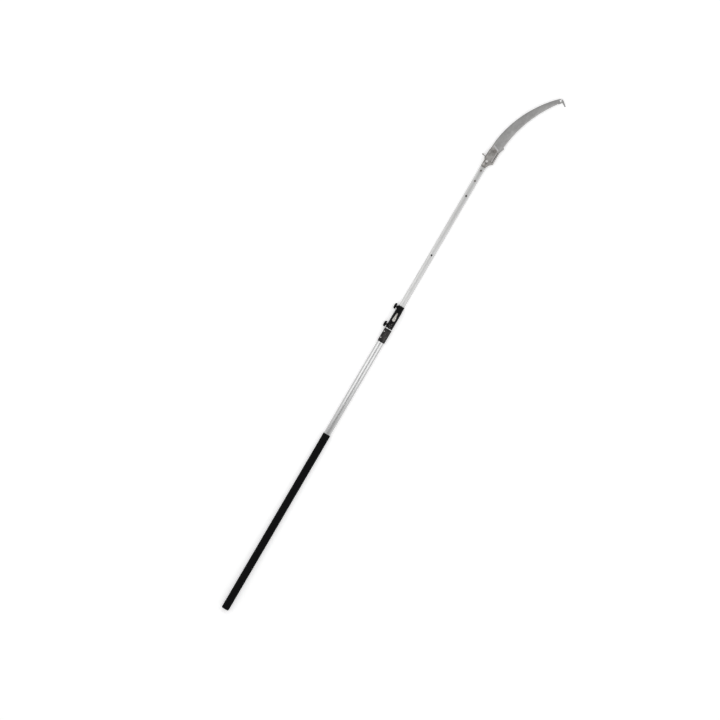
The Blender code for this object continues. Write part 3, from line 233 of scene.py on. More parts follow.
def drawn_aluminium(name, deep, pale, roughness, scuff):
    """Anodised tube: long drawing lines, slow clouds in the anodising and a few short scuffs."""
    finish, shader, place = begin_finish(name, roughness, metallic=1.0)
    lines = place.grain((0.003, 1.1, 1.1), 4.0, 0.7)
    clouds = place.grain((0.012, 0.05, 0.05))
    scratches = place.grain((0.5, 0.045, 0.045), 2.0, 0.75).between(0.68, 0.74)
    wear = scratches * place.grain((0.004, 0.08, 0.08)).between(0.5, 0.7) * scuff
    tone = lines.swing(0.9) + clouds.swing(0.8) + 0.5 - wear * 0.5
    wire_up(shader, height=lines - wear * 0.5, depth=0.004, base_color=tone.colours(deep, pale),
            roughness=lines.swing(0.12) + clouds.swing(0.1) + wear * 0.15 + roughness)
    return finish


outer_outline = wall_outline("outer_tube", 0, -OUTER_WALL, TUBE_EDGE)
bright_tube = drawn_aluminium("bright_tube", (0.42, 0.42, 0.42), (0.60, 0.60, 0.60),
                              roughness=0.25, scuff=1.0)
place_piece("outer_tube_drawn", sleeve(OUTER_SIZE, outer_outline), "handle", "tube_bright", [bright_tube],
            "outer_tube")


# End cap. A black rubber plug pushed into the butt, with a rounded lip that the saw stands on. It is moulded
# in one piece, with a shallow dish in its end and a fine line round the lip where the mould closed.

CAP_LIP = 9.0
CAP_WALL = 2.4
CAP_EDGE = 5.5
CAP_EDGE_STEPS = 12
LIP_GAP = 1.3
DISH = ((0.7, -7.0), (0.42, -5.8), (0.12, -1.6), (0.0, -0.8))   # depth, and distance in from the edge's arc
LIP_BACK = ((-1.5, 0.0), (-1.3, -0.15), (-1.1, 0.0), (-0.3, 0.0), (-0.08, -0.1), (0.0, -0.3))
PLUG_FIT = 0.3
PLUG_NOSE = (1.0, 0.8)                    # its chamfer's length and depth
MARK_FADE = (0.5, 1.2)                    # a mark is full to the first share of its oval, gone at the second


def marked(place, marks):
    """Soft ovals on the wide face: each has x, y, half its length, half its width and its strength."""
    total = None
    for x, y, length, width, strength in marks:
        centred = place.node("VectorMath", {"operation": "SUBTRACT"}, {0: place, 1: (x, y, 0)})
        sockets = {0: centred, 1: (1 / length, 1 / width, 0)}
        scaled = place.node("VectorMath", {"operation": "MULTIPLY"}, sockets)
        reach = place.node("VectorMath", {"operation": "LENGTH"}, {0: scaled}, "Value")
        mark = (1 - reach.between(*MARK_FADE)) * strength
        total = mark if total is None else total + mark
    return total


def black_rubber(name, deep, pale, roughness, specular, cell, crest_sheen=0.0, marks=()):
    """Moulded rubber: fine pores and dull clouds, a painted sheen in pale streaks on rib crests, and darker
    marks.
    """
    finish, shader, place = begin_finish(name, roughness, metallic=0.0, specular=specular)
    pores = place.grain((cell, cell, cell), 2.0)
    clouds = place.grain((0.02, 0.06, 0.06))
    tone = (pores * 0.5 + clouds * 0.5).between(0.3, 0.75)
    # Painted sheen: rib crests turn pale in streaks, and the valleys stay dark as painted shade.
    if crest_sheen:
        lit_crest = place.node("Attribute", {"attribute_name": "wear_and_sheen"}, {}, "Fac")
        sheen_streaks = place.grain((0.03, 0.16, 0.16), 2.0).between(0.4, 0.6)
        tone = tone * (1 - crest_sheen) + (lit_crest * 0.75 + 0.25) * (sheen_streaks * crest_sheen)
    if marks:
        tone = tone + marked(place, marks)
    wire_up(shader, height=pores, depth=0.05, base_color=tone.colours(deep, pale),
            roughness=clouds.swing(0.2) + pores.swing(0.1) + roughness)
    return finish


grip_rubber = black_rubber("grip_rubber", (0.0028, 0.0028, 0.003), (0.0056, 0.0055, 0.0058), roughness=0.8,
                           specular=0.07, cell=1.6)
cap_end = span("end_cap")[1]
plug = -OUTER_WALL - PLUG_FIT
outline = [(depth, LIP_GAP - CAP_EDGE + reach) for depth, reach in DISH]
for step in range(1, CAP_EDGE_STEPS + 1):
    angle = TURN / 4 * step / CAP_EDGE_STEPS
    outline.append((CAP_EDGE * (1 - math.cos(angle)), LIP_GAP - CAP_EDGE * (1 - math.sin(angle))))
outline += [(CAP_LIP + x, LIP_GAP + gap) for x, gap in LIP_BACK]
outline += [(CAP_LIP, plug), (cap_end - PLUG_NOSE[0], plug), (cap_end, plug - PLUG_NOSE[1])]
outline += [(cap_end, plug - CAP_WALL), (CAP_LIP + CAP_WALL, plug - CAP_WALL)]
place_piece("end_cap_moulded", skin([oval(x, OUTER_SIZE, gap) for x, gap in outline]),
            "handle", "grip_rubber", [grip_rubber], "end_cap")


# Grip sleeve. A thin black rubber sleeve over the lower two thirds of the outer tube, shrunk on so that it
# takes the tube's oval. Its face waves faintly, and its front edge is drawn in.

GRIP_GAP = 1.1
GRIP_SEAT = 0.3
GRIP_EDGE = 0.3
GRIP_STATIONS = 90
GRIP_WAVE = 0.06
GRIP_WAVES = (0.11, 0.037)                # radians to a millimetre
GRIP_FRONT = ((-2.2, 0.0), (-0.8, -0.05), (-0.3, -0.2), (0.0, -0.5))

grip_start, grip_end = span("grip_sleeve")
outline = [(grip_start, GRIP_SEAT), (grip_start, GRIP_GAP - GRIP_EDGE), (grip_start + GRIP_EDGE, GRIP_GAP)]
for step in range(1, GRIP_STATIONS):
    x = grip_start + (grip_end - grip_start) * step / GRIP_STATIONS
    wave = 0.5 + 0.5 * math.sin(x * GRIP_WAVES[0]) * math.sin(x * GRIP_WAVES[1])
    outline.append((x, GRIP_GAP - GRIP_WAVE * wave))
outline += [(grip_end + x, GRIP_GAP + gap) for x, gap in GRIP_FRONT]
outline.append((grip_end, GRIP_SEAT))
place_piece("grip_sleeve_shrunk", sleeve(OUTER_SIZE, outline), "handle", "grip_rubber", [grip_rubber],
            "grip_sleeve")


# Collar. A hard rubber sleeve with ribs along it, pressed over the tube's end where the other hand holds. Two
# screws go through it, the tube and the lock's spigot behind it. Its rib crests carry a painted sheen, pale
# in streaks.

COLLAR_GAP = 1.3
COLLAR_SEAT = 0.3
COLLAR_EDGE = 0.3
COLLAR_SIDES = 240
COLLAR_RIBS = 24
RIB_DEPTH = 0.55
SCREW_ANGLE = math.radians(52)
SCREW_HEAD = 2.7
SCREW_CLEAR = 0.3
SCREW_HOLE = (-1.0, 4.0)                  # from below the tube's face to past the collar
ROUND_SIDES = 48
HELD_MARKS = ((1455.5, 0.0, 7.0, 18.0, -0.4), (1392.5, 0.0, 7.0, 18.0, -0.35), (1424.0, 8.5, 34.0, 6.0, -0.3))


def share(value, start, end):
    """0 up to the start, 1 past the end, and the share of the way between them."""
    return min(max((value - start) / (end - start), 0.0), 1.0)


def ring(height, radius, sides=ROUND_SIDES, corners=0, lobes=0, scallop=0.0):
    """A ring round local Z: round, or a polygon of that radius, or drawn in between lobes."""
    points = []
    for side in range(sides):
        angle = TURN * (side + 0.5) / sides
        reach = radius - scallop * (0.5 - 0.5 * math.cos(lobes * angle))
        if corners:
            half = math.pi / corners
            reach = radius * math.cos(half) / math.cos(angle % (2 * half) - half)
        points.append(Vector((reach * math.cos(angle), reach * math.sin(angle), height)))
    return points


def aimed(shape, spot, direction):
    """Turns local Z to the direction and moves the shape to its spot."""
    turn = Vector((0, 0, 1)).rotation_difference(Vector(direction)).to_matrix().to_4x4()
    shape.transform(Matrix.Translation(spot) @ turn)
    return shape


def bored(shape, cutter):
    """The shape less the cutter, both in millimetres."""
    things = []
    for source in (shape, cutter):
        bmesh.ops.recalc_face_normals(source, faces=source.faces)
        mesh = bpy.data.meshes.new("boring")
        source.to_mesh(mesh)
        source.free()
        things.append(bpy.data.objects.new("boring", mesh))
        bpy.context.scene.collection.objects.link(things[-1])
    change = things[0].modifiers.new("bore", "BOOLEAN")
    change.operation = "DIFFERENCE"
    change.solver = "EXACT"
    change.object = things[1]
    depsgraph = bpy.context.evaluated_depsgraph_get()
    done = bmesh.new()
    done.from_mesh(things[0].evaluated_get(depsgraph).to_mesh())
    for thing in things:
        bpy.data.objects.remove(thing)
    return done


def screw_seat(x):
    """The spot on the tube under a collar screw, and the way that the screw points out."""
    across, up = math.cos(SCREW_ANGLE), math.sin(SCREW_ANGLE)
    y = OUTER_SIZE[0] / 2 * across ** (2 / OVAL_POWER)
    z = OUTER_SIZE[1] / 2 * up ** (2 / OVAL_POWER)
    slope_y = (2 * y / OUTER_SIZE[0]) ** (OVAL_POWER - 1) / OUTER_SIZE[0]
    slope_z = (2 * z / OUTER_SIZE[1]) ** (OVAL_POWER - 1) / OUTER_SIZE[1]
    return Vector((x, y, z)), Vector((0, slope_y, slope_z)).normalized()


screw_stations = {name: sum(span("collar_screw_" + name)) / 2 for name in ("rear", "front")}
rings = []
for x, gap in wall_outline("collar_sleeve", COLLAR_GAP, COLLAR_SEAT, COLLAR_EDGE):
    depth = RIB_DEPTH * share(gap, COLLAR_SEAT, COLLAR_GAP - COLLAR_EDGE)
    rings.append(oval(x, OUTER_SIZE, gap, COLLAR_SIDES, COLLAR_RIBS, depth))
collar = skin(rings, hollow=True)
# Painted sheen and shade: 1 on each rib's crest, 0 in the valleys between the ribs.
wear_and_sheen = collar.verts.layers.float.new("wear_and_sheen")
for index, corner in enumerate(collar.verts):
    angle = TURN * (index % COLLAR_SIDES + 0.5) / COLLAR_SIDES
    corner[wear_and_sheen] = 0.5 + 0.5 * math.cos(COLLAR_RIBS * angle)
for x in screw_stations.values():
    hole = skin([ring(height, SCREW_HEAD + SCREW_CLEAR) for height in SCREW_HOLE])
    collar = bored(collar, aimed(hole, *screw_seat(x)))
collar_rubber = black_rubber("collar_rubber", (0.004, 0.0035, 0.0035), (0.096, 0.087, 0.086), roughness=0.5,
                             specular=0.26, cell=1.2, crest_sheen=0.7, marks=HELD_MARKS)
place_piece("collar_ribbed", collar, "handle", "grip_rubber", [collar_rubber], "collar_sleeve")


# Collar screws. Two small bright steel screws with domed heads and hex sockets. Their heads sit in holes in
# the collar and are turned down onto the tube, and their shanks reach into the lock's spigot.

SCREW_SHANK = 1.5
SCREW_END = -3.8
SCREW_TIP = 0.3
SCREW_SEAT = 0.3
SCREW_HEIGHT = 1.9                        # the head's, and that of its upright side
SCREW_SIDE = 0.5
SCREW_EDGE = 0.1
DOME_STEPS = 7
DOME_SHARE = 0.72                         # under 1 leaves the dome wide at its top, round the socket
HEX = 6
SOCKET_MOUTH = 1.3
SOCKET = 1.2
SOCKET_DEPTH = 1.0
SOCKET_POINT = (1.25, 0.3)                # the drill's point: its depth under the head's top, and its radius


def turned_metal(name, deep, pale, roughness):
    """Turned or rolled metal: plating with small clouds, fine marks and a few dull specks."""
    finish, shader, place = begin_finish(name, roughness, metallic=1.0)
    marks = place.grain((3.0, 3.0, 3.0), 3.0, 0.7)
    clouds = place.grain((0.35, 0.35, 0.35), 2.0)
    specks = place.grain((1.4, 1.4, 1.4), 1.0).between(0.66, 0.74)
    tone = marks * 0.45 + clouds * 0.55 - specks * 0.4
    wire_up(shader, height=marks, depth=0.01, base_color=tone.between(0.1, 0.8).colours(deep, pale),
            roughness=marks.swing(0.15) + specks * 0.2 + roughness)
    return finish


bright_steel = turned_metal("bright_steel", (0.55, 0.54, 0.52), (0.86, 0.85, 0.83), roughness=0.24)
for name, x in screw_stations.items():
    top = SCREW_SEAT + SCREW_HEIGHT
    rings = [ring(SCREW_END, SCREW_SHANK - SCREW_TIP), ring(SCREW_END + SCREW_TIP, SCREW_SHANK)]
    rings += [ring(SCREW_SEAT, SCREW_SHANK), ring(SCREW_SEAT, SCREW_HEAD - SCREW_EDGE)]
    rings.append(ring(SCREW_SEAT + SCREW_EDGE, SCREW_HEAD))
    for step in range(DOME_STEPS):
        angle = TURN / 4 * step / DOME_STEPS
        height = SCREW_SEAT + SCREW_SIDE + (SCREW_HEIGHT - SCREW_SIDE) * math.sin(angle)
        rings.append(ring(height, SCREW_HEAD * math.cos(angle * DOME_SHARE)))
    rings += [ring(top, SOCKET_MOUTH), ring(top, SOCKET, corners=HEX)]
    rings += [ring(top - SOCKET_DEPTH, SOCKET, corners=HEX), ring(top - SOCKET_POINT[0], SOCKET_POINT[1])]
    place_piece("collar_screw_turned_" + name, aimed(skin(rings), *screw_seat(x)),
                "handle", "bright_steel", [bright_steel], "collar_screw_" + name)


# Lock housing. One black glass-filled nylon moulding: a spigot inside the outer tube, the block that holds
# the latch, two screw bosses on its back edge and the nose that the inner tube slides out of.

MOULD_ROUND = 0.35
ROUND_STEPS = 2
WELD = 0.004                              # corners nearer than this are joined
FLAT_ANGLE = math.radians(0.6)            # and faces that turn less than this
ROUNDED_ANGLE = math.radians(35)          # edges that turn more than this are rounded
EDGE_ROOM = 0.5                           # shorter edges leave no room to round what meets them
SLIM_CORNER = math.radians(20)            # and neither do the corners of slimmer faces
MOULD_ROOM = 0.8
MOULD_SLIM = math.radians(30)
NYLON_SHEEN = 0.055
HIGHLIGHT_FLECK_GREY = (0.24, 0.235, 0.225)
# Painted highlights: pale flecks over the ribbed grip area, where its texture catches the light.
GRIP_HIGHLIGHT_FLECKS = ((1484.0, 0.0, 2.6, 11.0, 1.0), (1475.5, 1.0, 2.6, 11.0, 0.9), (1467.5, -1.0, 2.4, 10.0, 0.8),
              (1491.5, -6.0, 2.0, 4.0, 0.6))


def softened(node, width, steps=ROUND_STEPS, room=EDGE_ROOM, slim=SLIM_CORNER):
    """A CAD node drawn on the pole, its sharp edges rounded where there is room, and marked as worn."""
    shape = bmesh.new()
    shape.from_mesh(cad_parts[node].data)
    shape.transform(Matrix.Scale(1 / MM, 4) @ Matrix.Translation(-POLE))
    bmesh.ops.remove_doubles(shape, verts=shape.verts, dist=WELD)
    bmesh.ops.dissolve_limit(shape, angle_limit=FLAT_ANGLE, verts=shape.verts, edges=shape.edges)
    crowded = {corner for edge in shape.edges if edge.calc_length() < room for corner in edge.verts}
    crowded |= {turn.vert for face in shape.faces for turn in face.loops if turn.calc_angle() < slim}
    sharp = [edge for edge in shape.edges if edge.is_manifold and edge.calc_face_angle() > ROUNDED_ANGLE
             and not crowded.intersection(edge.verts)]
    made = bmesh.ops.bevel(shape, geom=sharp, offset=width, offset_type="OFFSET", segments=steps,
                           profile=0.5, affect="EDGES", clamp_overlap=True)
    wear_and_sheen = shape.loops.layers.float.new("wear_and_sheen")
    for face in made["faces"]:
        for corner in face.loops:
            corner[wear_and_sheen] = 1.0
    return shape


def moulded_nylon(name, deep, pale, roughness, worn_colour, marks=()):
    """Moulded nylon: a spark-eroded grain, slow clouds, edges rubbed pale, and pale flecks painted as
    highlights on the gripped texture.
    """
    finish, shader, place = begin_finish(name, roughness, metallic=0.0, specular=NYLON_SHEEN)
    grain = place.grain((2.2, 2.2, 2.2), 2.0, 0.55)
    clouds = place.grain((0.05, 0.09, 0.09))
    wear_and_sheen = place.node("Attribute", {"attribute_name": "wear_and_sheen"}, {}, "Fac")
    rubbed = wear_and_sheen * place.grain((0.3, 0.5, 0.5)).between(0.36, 0.58)
    body = (grain * 0.6 + clouds * 0.4).between(0.2, 0.8).colours(deep, pale)
    # Painted highlights: pale flecks inside the marks.
    if marks:
        highlight_streaks = place.grain((2.4, 0.7, 0.7), 4.0, 0.75).between(0.44, 0.56)
        patches = place.grain((0.24, 0.18, 0.2), 1.0).between(0.44, 0.6)
        body = (marked(place, marks) * patches * highlight_streaks).colours(body, HIGHLIGHT_FLECK_GREY)
    wire_up(shader, height=grain, depth=0.05, base_color=(rubbed * 0.6).colours(body, worn_colour),
            roughness=clouds.swing(0.16) + grain.swing(0.12) - rubbed * 0.1 + roughness)
    return finish


black_nylon = moulded_nylon("black_nylon", (0.002, 0.002, 0.0023), (0.0075, 0.0072, 0.008), roughness=0.46,
                            worn_colour=(0.05, 0.049, 0.047), marks=GRIP_HIGHLIGHT_FLECKS)
housing = softened("lock_housing", MOULD_ROUND, room=MOULD_ROOM, slim=MOULD_SLIM)
place_piece("lock_housing_moulded", housing, "handle", "black_nylon", [black_nylon], "lock_housing")


# Wiper ring. A black rubber ring in the groove inside the nose, which keeps sawdust out of the lock. It is
# moulded and simply pushed in, and its CAD solid has its whole form.

def keep_node(node, finish):
    """A CAD node whose shape is right keeps it, and takes the finish."""
    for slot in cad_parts[node].material_slots:
        slot.material = finish


keep_node("wiper_ring", grip_rubber)


# Latch. A die-cast zinc lever that rocks on a steel pin through the block. Its narrow end carries the lock
# pin, which drops into the inner tube's index holes, and a bowed strip of spring steel lifts its thumb end.

LEVER_ROUND = 0.3
LEVER_TAPER = (1508.0, 1542.0)            # where the lever starts to taper, and where it is narrowest
TOOTH_SIDE_TAPER = 0.39
BACK_SIDE_TAPER = 0.338
# Painted light on the lever: dark strokes and a darker narrow end as painted shade, one pale spot as a
# painted highlight.
LEVER_SHADE_AND_HIGHLIGHTS = ((1516.0, 3.2, 2.0, 2.2, -0.5), (1513.2, 0.6, 2.0, 2.2, -0.55), (1511.0, -2.0, 1.8, 2.0, -0.4),
               (1521.0, -1.2, 3.0, 2.4, -0.6), (1514.9, -3.4, 2.8, 2.6, 0.9),
               (1533.0, -3.0, 12.0, 2.6, -0.7), (1538.5, 0.0, 6.0, 5.0, -0.8))


def cast_metal(name, deep, pale, roughness, metallic, cell, marks=()):
    """Cast metal: a fine grain from the mould, painted shade and highlights where marks are given, and edges
    polished by use.
    """
    finish, shader, place = begin_finish(name, roughness, metallic)
    grain = place.grain((cell, cell, cell), 3.0, 0.65)
    clouds = place.grain((0.09, 0.09, 0.09))
    wear_and_sheen = place.node("Attribute", {"attribute_name": "wear_and_sheen"}, {}, "Fac")
    polished = wear_and_sheen * place.grain((0.4, 0.4, 0.4)).between(0.35, 0.6)
    tone = (grain * 0.4 + clouds * 0.6).between(0.36, 0.64) * 0.9 + 0.14 + polished * 0.3
    if marks:
        # Painted shade and highlights from the marks.
        tone = tone + marked(place, marks) * (0.6 + grain * 0.8)
    wire_up(shader, height=grain, depth=0.05, base_color=tone.colours(deep, pale),
            roughness=grain.swing(0.16) + clouds.swing(0.12) - polished * 0.16 + roughness)
    return finish


cast_lever = cast_metal("cast_lever", (0.32, 0.305, 0.28), (0.74, 0.72, 0.68), roughness=0.38,
                        metallic=1.0, cell=1.4, marks=LEVER_SHADE_AND_HIGHLIGHTS)
spring_steel = turned_metal("spring_steel", (0.20, 0.195, 0.19), (0.42, 0.41, 0.40), roughness=0.32)
lever = softened("latch_lever", LEVER_ROUND)
for corner in lever.verts:
    taper = TOOTH_SIDE_TAPER if corner.co.y < 0 else BACK_SIDE_TAPER
    corner.co.y *= 1 - taper * share(corner.co.x, *LEVER_TAPER)
place_piece("latch_lever_cast", lever, "latch", "lever_metal", [cast_lever], "latch_lever")
keep_node("lock_pin", bright_steel)
keep_node("latch_hinge_pin", bright_steel)
keep_node("latch_spring", spring_steel)


# Clamps. A steel screw turned by a scalloped nylon knob runs in a blackened insert in each boss, and presses
# a nylon pad on the inner tube's back edge to take up its play. The knob is moulded round the screw.

KNOB_RADIUS = 13.6
KNOB_LOBES = 8
KNOB_SCALLOP = 1.1
SCALLOP_POWER = 3                         # how fast the scallops fade towards the crown
KNOB_SIDES = 128
# Heights above the knob's foot, with radii: the hub and its bore, the rim, and the crown.
KNOB_HUB = ((8.3, 3.3), (0.3, 3.3), (0.0, 3.6), (0.0, 4.9), (0.3, 5.2), (3.3, 5.2), (3.6, 5.5))
KNOB_RIM = ((3.5, 7.0), (2.1, 9.6), (1.2, 10.9), (1.0, 11.6), (1.05, 12.5), (1.4, 13.2), (2.1, 13.52),
            (3.2, 13.6), (6.6, 13.6), (7.6, 13.5), (8.4, 13.1), (9.2, 12.4), (9.9, 11.5), (10.5, 10.4),
            (11.0, 9.0))
KNOB_CROWN = ((11.35, 7.6), (11.6, 6.6), (11.7, 6.1), (11.5, 5.7), (11.45, 5.2), (11.65, 4.7))
KNOB_FLAT = (3.6, 1.0)                    # radii of the flat top

dark_steel = turned_metal("dark_steel", (0.07, 0.062, 0.056), (0.19, 0.17, 0.155), roughness=0.42)
pad_nylon = moulded_nylon("natural_nylon", (0.58, 0.56, 0.50), (0.74, 0.72, 0.66), roughness=0.5,
                          worn_colour=(0.76, 0.74, 0.69))
for name in ("lower", "upper"):
    keep_node("thread_insert_" + name, dark_steel)
    keep_node("clamp_pad_" + name, pad_nylon)
    keep_node("clamp_screw_" + name, bright_steel)
    low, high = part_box("clamp_knob_" + name)
    foot, top = (low.y - AXIS_Y) / MM, (high.y - AXIS_Y) / MM
    middle = ((low.x + high.x) / 2 - BUTT_X) / MM
    rings = [ring(height, radius, KNOB_SIDES) for height, radius in KNOB_HUB]
    for height, radius in KNOB_RIM:
        depth = KNOB_SCALLOP * (radius / KNOB_RADIUS) ** SCALLOP_POWER
        rings.append(ring(height, radius, KNOB_SIDES, lobes=KNOB_LOBES, scallop=depth))
    rings += [ring(height, radius, KNOB_SIDES) for height, radius in KNOB_CROWN]
    rings += [ring(top - foot, radius, KNOB_SIDES) for radius in KNOB_FLAT]
    knob = aimed(skin(rings), (middle, foot, 0), (0, 1, 0))
    place_piece("clamp_knob_moulded_" + name, knob, name + "_knob", "black_nylon", [black_nylon],
                "clamp_knob_" + name)


# Inner tube. A lighter oval tube in satin anodised aluminium that slides in the outer one. Index holes along
# its upper face take the lock pin. Their drilled rims are bare metal, and the tube's bore is painted dark as
# shade.

INNER_SIZE = (27.0, 20.6)
INNER_WALL = 1.4
INNER_EDGE = 0.3
HOLE_RADIUS = 4.25
HOLE_RIM = 0.45
RIM_PROUD = 0.05
HOLE_PITCH = 308.7
HOLE_COUNT = 5
FIRST_HOLE = 155.1
BOLT_HOLE = 2.8
PAST_FACE = 3.0                           # how far a drill runs out of the tube
STEEP = 0.9                               # a face whose normal rises less is a hole's wall or rim

inner_start, inner_end = span("inner_tube")
tube_bolts = [sum(span("tube_bolt_" + name)) / 2 for name in ("rear", "front")]
holes = [inner_start + FIRST_HOLE + HOLE_PITCH * index for index in range(HOLE_COUNT)]
breaks = sorted(holes + tube_bolts)
middles = [(first + second) / 2 for first, second in zip(breaks, breaks[1:])]
corners = wall_outline("inner_tube", 0, -INNER_WALL, INNER_EDGE)
first_end, last_start = CORNER_STEPS + 1, 3 * (CORNER_STEPS + 1)
outline = corners[:first_end] + [(x, 0) for x in middles] + corners[first_end:last_start]
outline += [(x, -INNER_WALL) for x in reversed(middles)] + corners[last_start:]
tube = sleeve(INNER_SIZE, outline)
top = INNER_SIZE[1] / 2
rim = HOLE_RADIUS + HOLE_RIM
for x in holes:
    drill = [ring(0, HOLE_RADIUS), ring(top - HOLE_RIM, HOLE_RADIUS)]
    drill += [ring(top + RIM_PROUD, rim), ring(top + PAST_FACE, rim)]
    tube = bored(tube, aimed(skin(drill), (x, 0, 0), (0, 0, 1)))
for x in tube_bolts:
    drill = skin([ring(-top - PAST_FACE, BOLT_HOLE), ring(top + PAST_FACE, BOLT_HOLE)])
    tube = bored(tube, aimed(drill, (x, 0, 0), (0, 0, 1)))
satin_tube = drawn_aluminium("satin_tube", (0.52, 0.52, 0.515), (0.68, 0.68, 0.675),
                             roughness=0.43, scuff=1.4)
bare_rim = turned_metal("bare_aluminium", (0.34, 0.34, 0.34), (0.50, 0.50, 0.50), roughness=0.35)
# Painted shade: the bore is coloured near black.
shaded_bore = drawn_aluminium("shaded_bore", (0.03, 0.03, 0.03), (0.07, 0.07, 0.07), roughness=0.6, scuff=0.5)
tube.normal_update()
for face in tube.faces:
    spot = face.calc_center_median()
    near = min(abs(spot.x - x) for x in holes)
    if max(near, abs(spot.y)) < rim and spot.z > 0 and abs(face.normal.z) < STEEP:
        face.material_index = 1
    # Faces turned inwards take the painted shade of the bore.
    elif spot.y * face.normal.y + spot.z * face.normal.z < 0:
        face.material_index = 2
place_piece("inner_tube_drawn", tube, "saw_head", "tube_satin", [satin_tube, bare_rim, shaded_bore],
            "inner_tube")
keep_node("inner_tube_guide", pad_nylon)


# Head casting. A grey aluminium casting: a tang inside the inner tube, a grooved neck that swells to the
# blade, the cheek behind the blade and a rail beside it. Shade in its hollows and highlights on its ridges
# are painted into its colour.

CAST_ROUND = 0.5
CAST_ROOM = 0.8
# Painted shade in the neck's groove and slopes, along the back edges and round the front bolt; painted
# highlights on the neck's ridge and the lower edges.
CAST_SHADE_AND_HIGHLIGHTS = ((2306.0, 0.0, 4.2, 60.0, -0.65), (2320.0, -3.5, 15.0, 5.0, -0.85),
              (2321.5, 9.5, 5.0, 3.4, -0.7), (2318.0, 5.2, 9.0, 3.2, 0.5),
              (2341.5, -14.5, 2.6, 5.0, -0.7), (2390.0, -8.0, 9.0, 7.0, -0.5),
              (2404.5, -2.6, 3.0, 5.6, -1.0), (2399.0, 4.2, 3.4, 3.0, -0.4),
              (2350.5, 6.5, 5.0, 4.0, 0.3), (2360.0, -21.7, 32.0, 2.8, 1.5),
              (2366.0, -26.8, 34.0, 1.5, -0.3), (2366.0, -30.8, 40.0, 2.6, 1.3),
              (2394.6, -29.0, 5.0, 4.4, 1.4), (2362.0, 15.6, 30.0, 4.0, -0.8),
              (2401.0, 11.8, 20.0, 3.4, -0.8), (2325.0, 12.6, 20.0, 3.4, -0.6),
              (2404.5, 6.6, 7.0, 5.0, 1.3))

grey_casting = cast_metal("grey_casting", (0.25, 0.239, 0.229), (0.48, 0.464, 0.45), roughness=0.42,
                          metallic=0.9, cell=1.0, marks=CAST_SHADE_AND_HIGHLIGHTS)
head = softened("head_casting", CAST_ROUND, room=CAST_ROOM)
place_piece("head_cast", head, "saw_head", "grey_casting", [grey_casting], "head_casting")


# Blade cover. A plate cast in the same metal that clamps the blade from the wide face. The slope along its
# slanting front edge is machined and left bright.

COVER_ROUND = 0.3
MACHINED_SLOPE = (0.15, 0.93)             # how much the normal of a machined face rises
MACHINED_AREA = 12.0

machined = cast_metal("machined_edge", (0.42, 0.415, 0.418), (0.58, 0.575, 0.578), roughness=0.34,
                      metallic=1.0, cell=2.0)
cover = softened("blade_cover", COVER_ROUND, room=0, slim=0)
cover.normal_update()
for face in cover.faces:
    if MACHINED_SLOPE[0] < face.normal.z < MACHINED_SLOPE[1] and face.calc_area() > MACHINED_AREA:
        face.material_index = 1
place_piece("blade_cover_cast", cover, "saw_head", "grey_casting", [grey_casting, machined], "blade_cover")


# Blade. A curved pull-stroke blade in hardened steel, 2 mm thick at the teeth and ground thinner towards its
# back. Neighbouring teeth are ground on opposite faces, and the slot by the tip's hook is open at its end.

BLADE_ROUND = 0.15
BLADE_ROUND_STEPS = 1
HEAD_SEAT = 0.3
HEEL_REACH = 124.4
HEEL_DROP = 36.3
HEEL_ANGLE = math.radians(5.55)
TOOTH_RADIUS = 578.4
TOOTHED_LENGTH = 314.0
HEEL_WIDTH = 47.1
TIP_WIDTH = 18.2
WIDTH_POWER = 1.5
# The band of painted shade along the blade's back edge.
BACK_BAND = (1.5, 5.5)                    # from the back edge: where the darker band starts to fade, and ends
BLADE_ROUGHNESS = 0.36
MOUTH = ((2734.0, -153.4), (2762.0, -155.2), (2762.0, -150.2), (2734.0, -151.2))
MOUTH_HALF = 9.0                          # half the depth that is cut at the slot's mouth

head_start = inner_end + HEAD_SEAT
heel = Vector((head_start + HEEL_REACH, -HEEL_DROP))
arc_centre = heel - TOOTH_RADIUS * Vector((math.sin(HEEL_ANGLE), math.cos(HEEL_ANGLE)))


def ground_steel(name):
    """Ground blade steel: fine lines square to the teeth, smoky clouds, small stains and painted shade along
    the back edge.
    """
    finish, shader, place = begin_finish(name, BLADE_ROUGHNESS, metallic=1.0)
    from_centre = place.node("VectorMath", {"operation": "SUBTRACT"}, {0: place, 1: (*arc_centre, 0)})
    radius = place.node("VectorMath", {"operation": "LENGTH"}, {0: from_centre}, "Value")
    x, y, z = (from_centre.axis(letter) for letter in "XYZ")
    arc = place.maths("ARCTAN2", x, y) * TOOTH_RADIUS
    lines = place.node("CombineXYZ", {}, {"X": arc, "Y": radius, "Z": z}).grain((2.0, 0.05, 0.1), 3.0, 0.7)
    clouds = place.grain((0.016, 0.03, 0.1), 4.0)
    blotches = place.grain((0.09, 0.13, 0.1), 3.0, 0.65)
    stains = place.grain((0.12, 0.12, 0.1), 3.0, 0.7).between(0.6, 0.74)
    along = (arc - TOOTH_RADIUS * HEEL_ANGLE) * (1 / TOOTHED_LENGTH)
    narrowing = place.maths("POWER", place.maths("MAXIMUM", along, 0), WIDTH_POWER)
    back = TOOTH_RADIUS + HEEL_WIDTH - (HEEL_WIDTH - TIP_WIDTH) * narrowing
    # Painted shade: a darker band along the blade's back edge.
    back_shade = 1 - (back - radius).between(*BACK_BAND)
    tone = lines.swing(0.5) + clouds.swing(1.0) + blotches.swing(0.9) + 0.5 - stains * 0.4
    tone = tone - back_shade * (0.42 - along * 0.36)
    tint = blotches.between(0.4, 0.62).colours((0.36, 0.352, 0.35), (0.352, 0.358, 0.345))
    wire_up(shader, height=lines, depth=0.006, base_color=tone.colours(tint, (0.60, 0.595, 0.59)),
            roughness=lines.swing(0.14) + clouds.swing(0.12) + stains * 0.14 + BLADE_ROUGHNESS)
    return finish


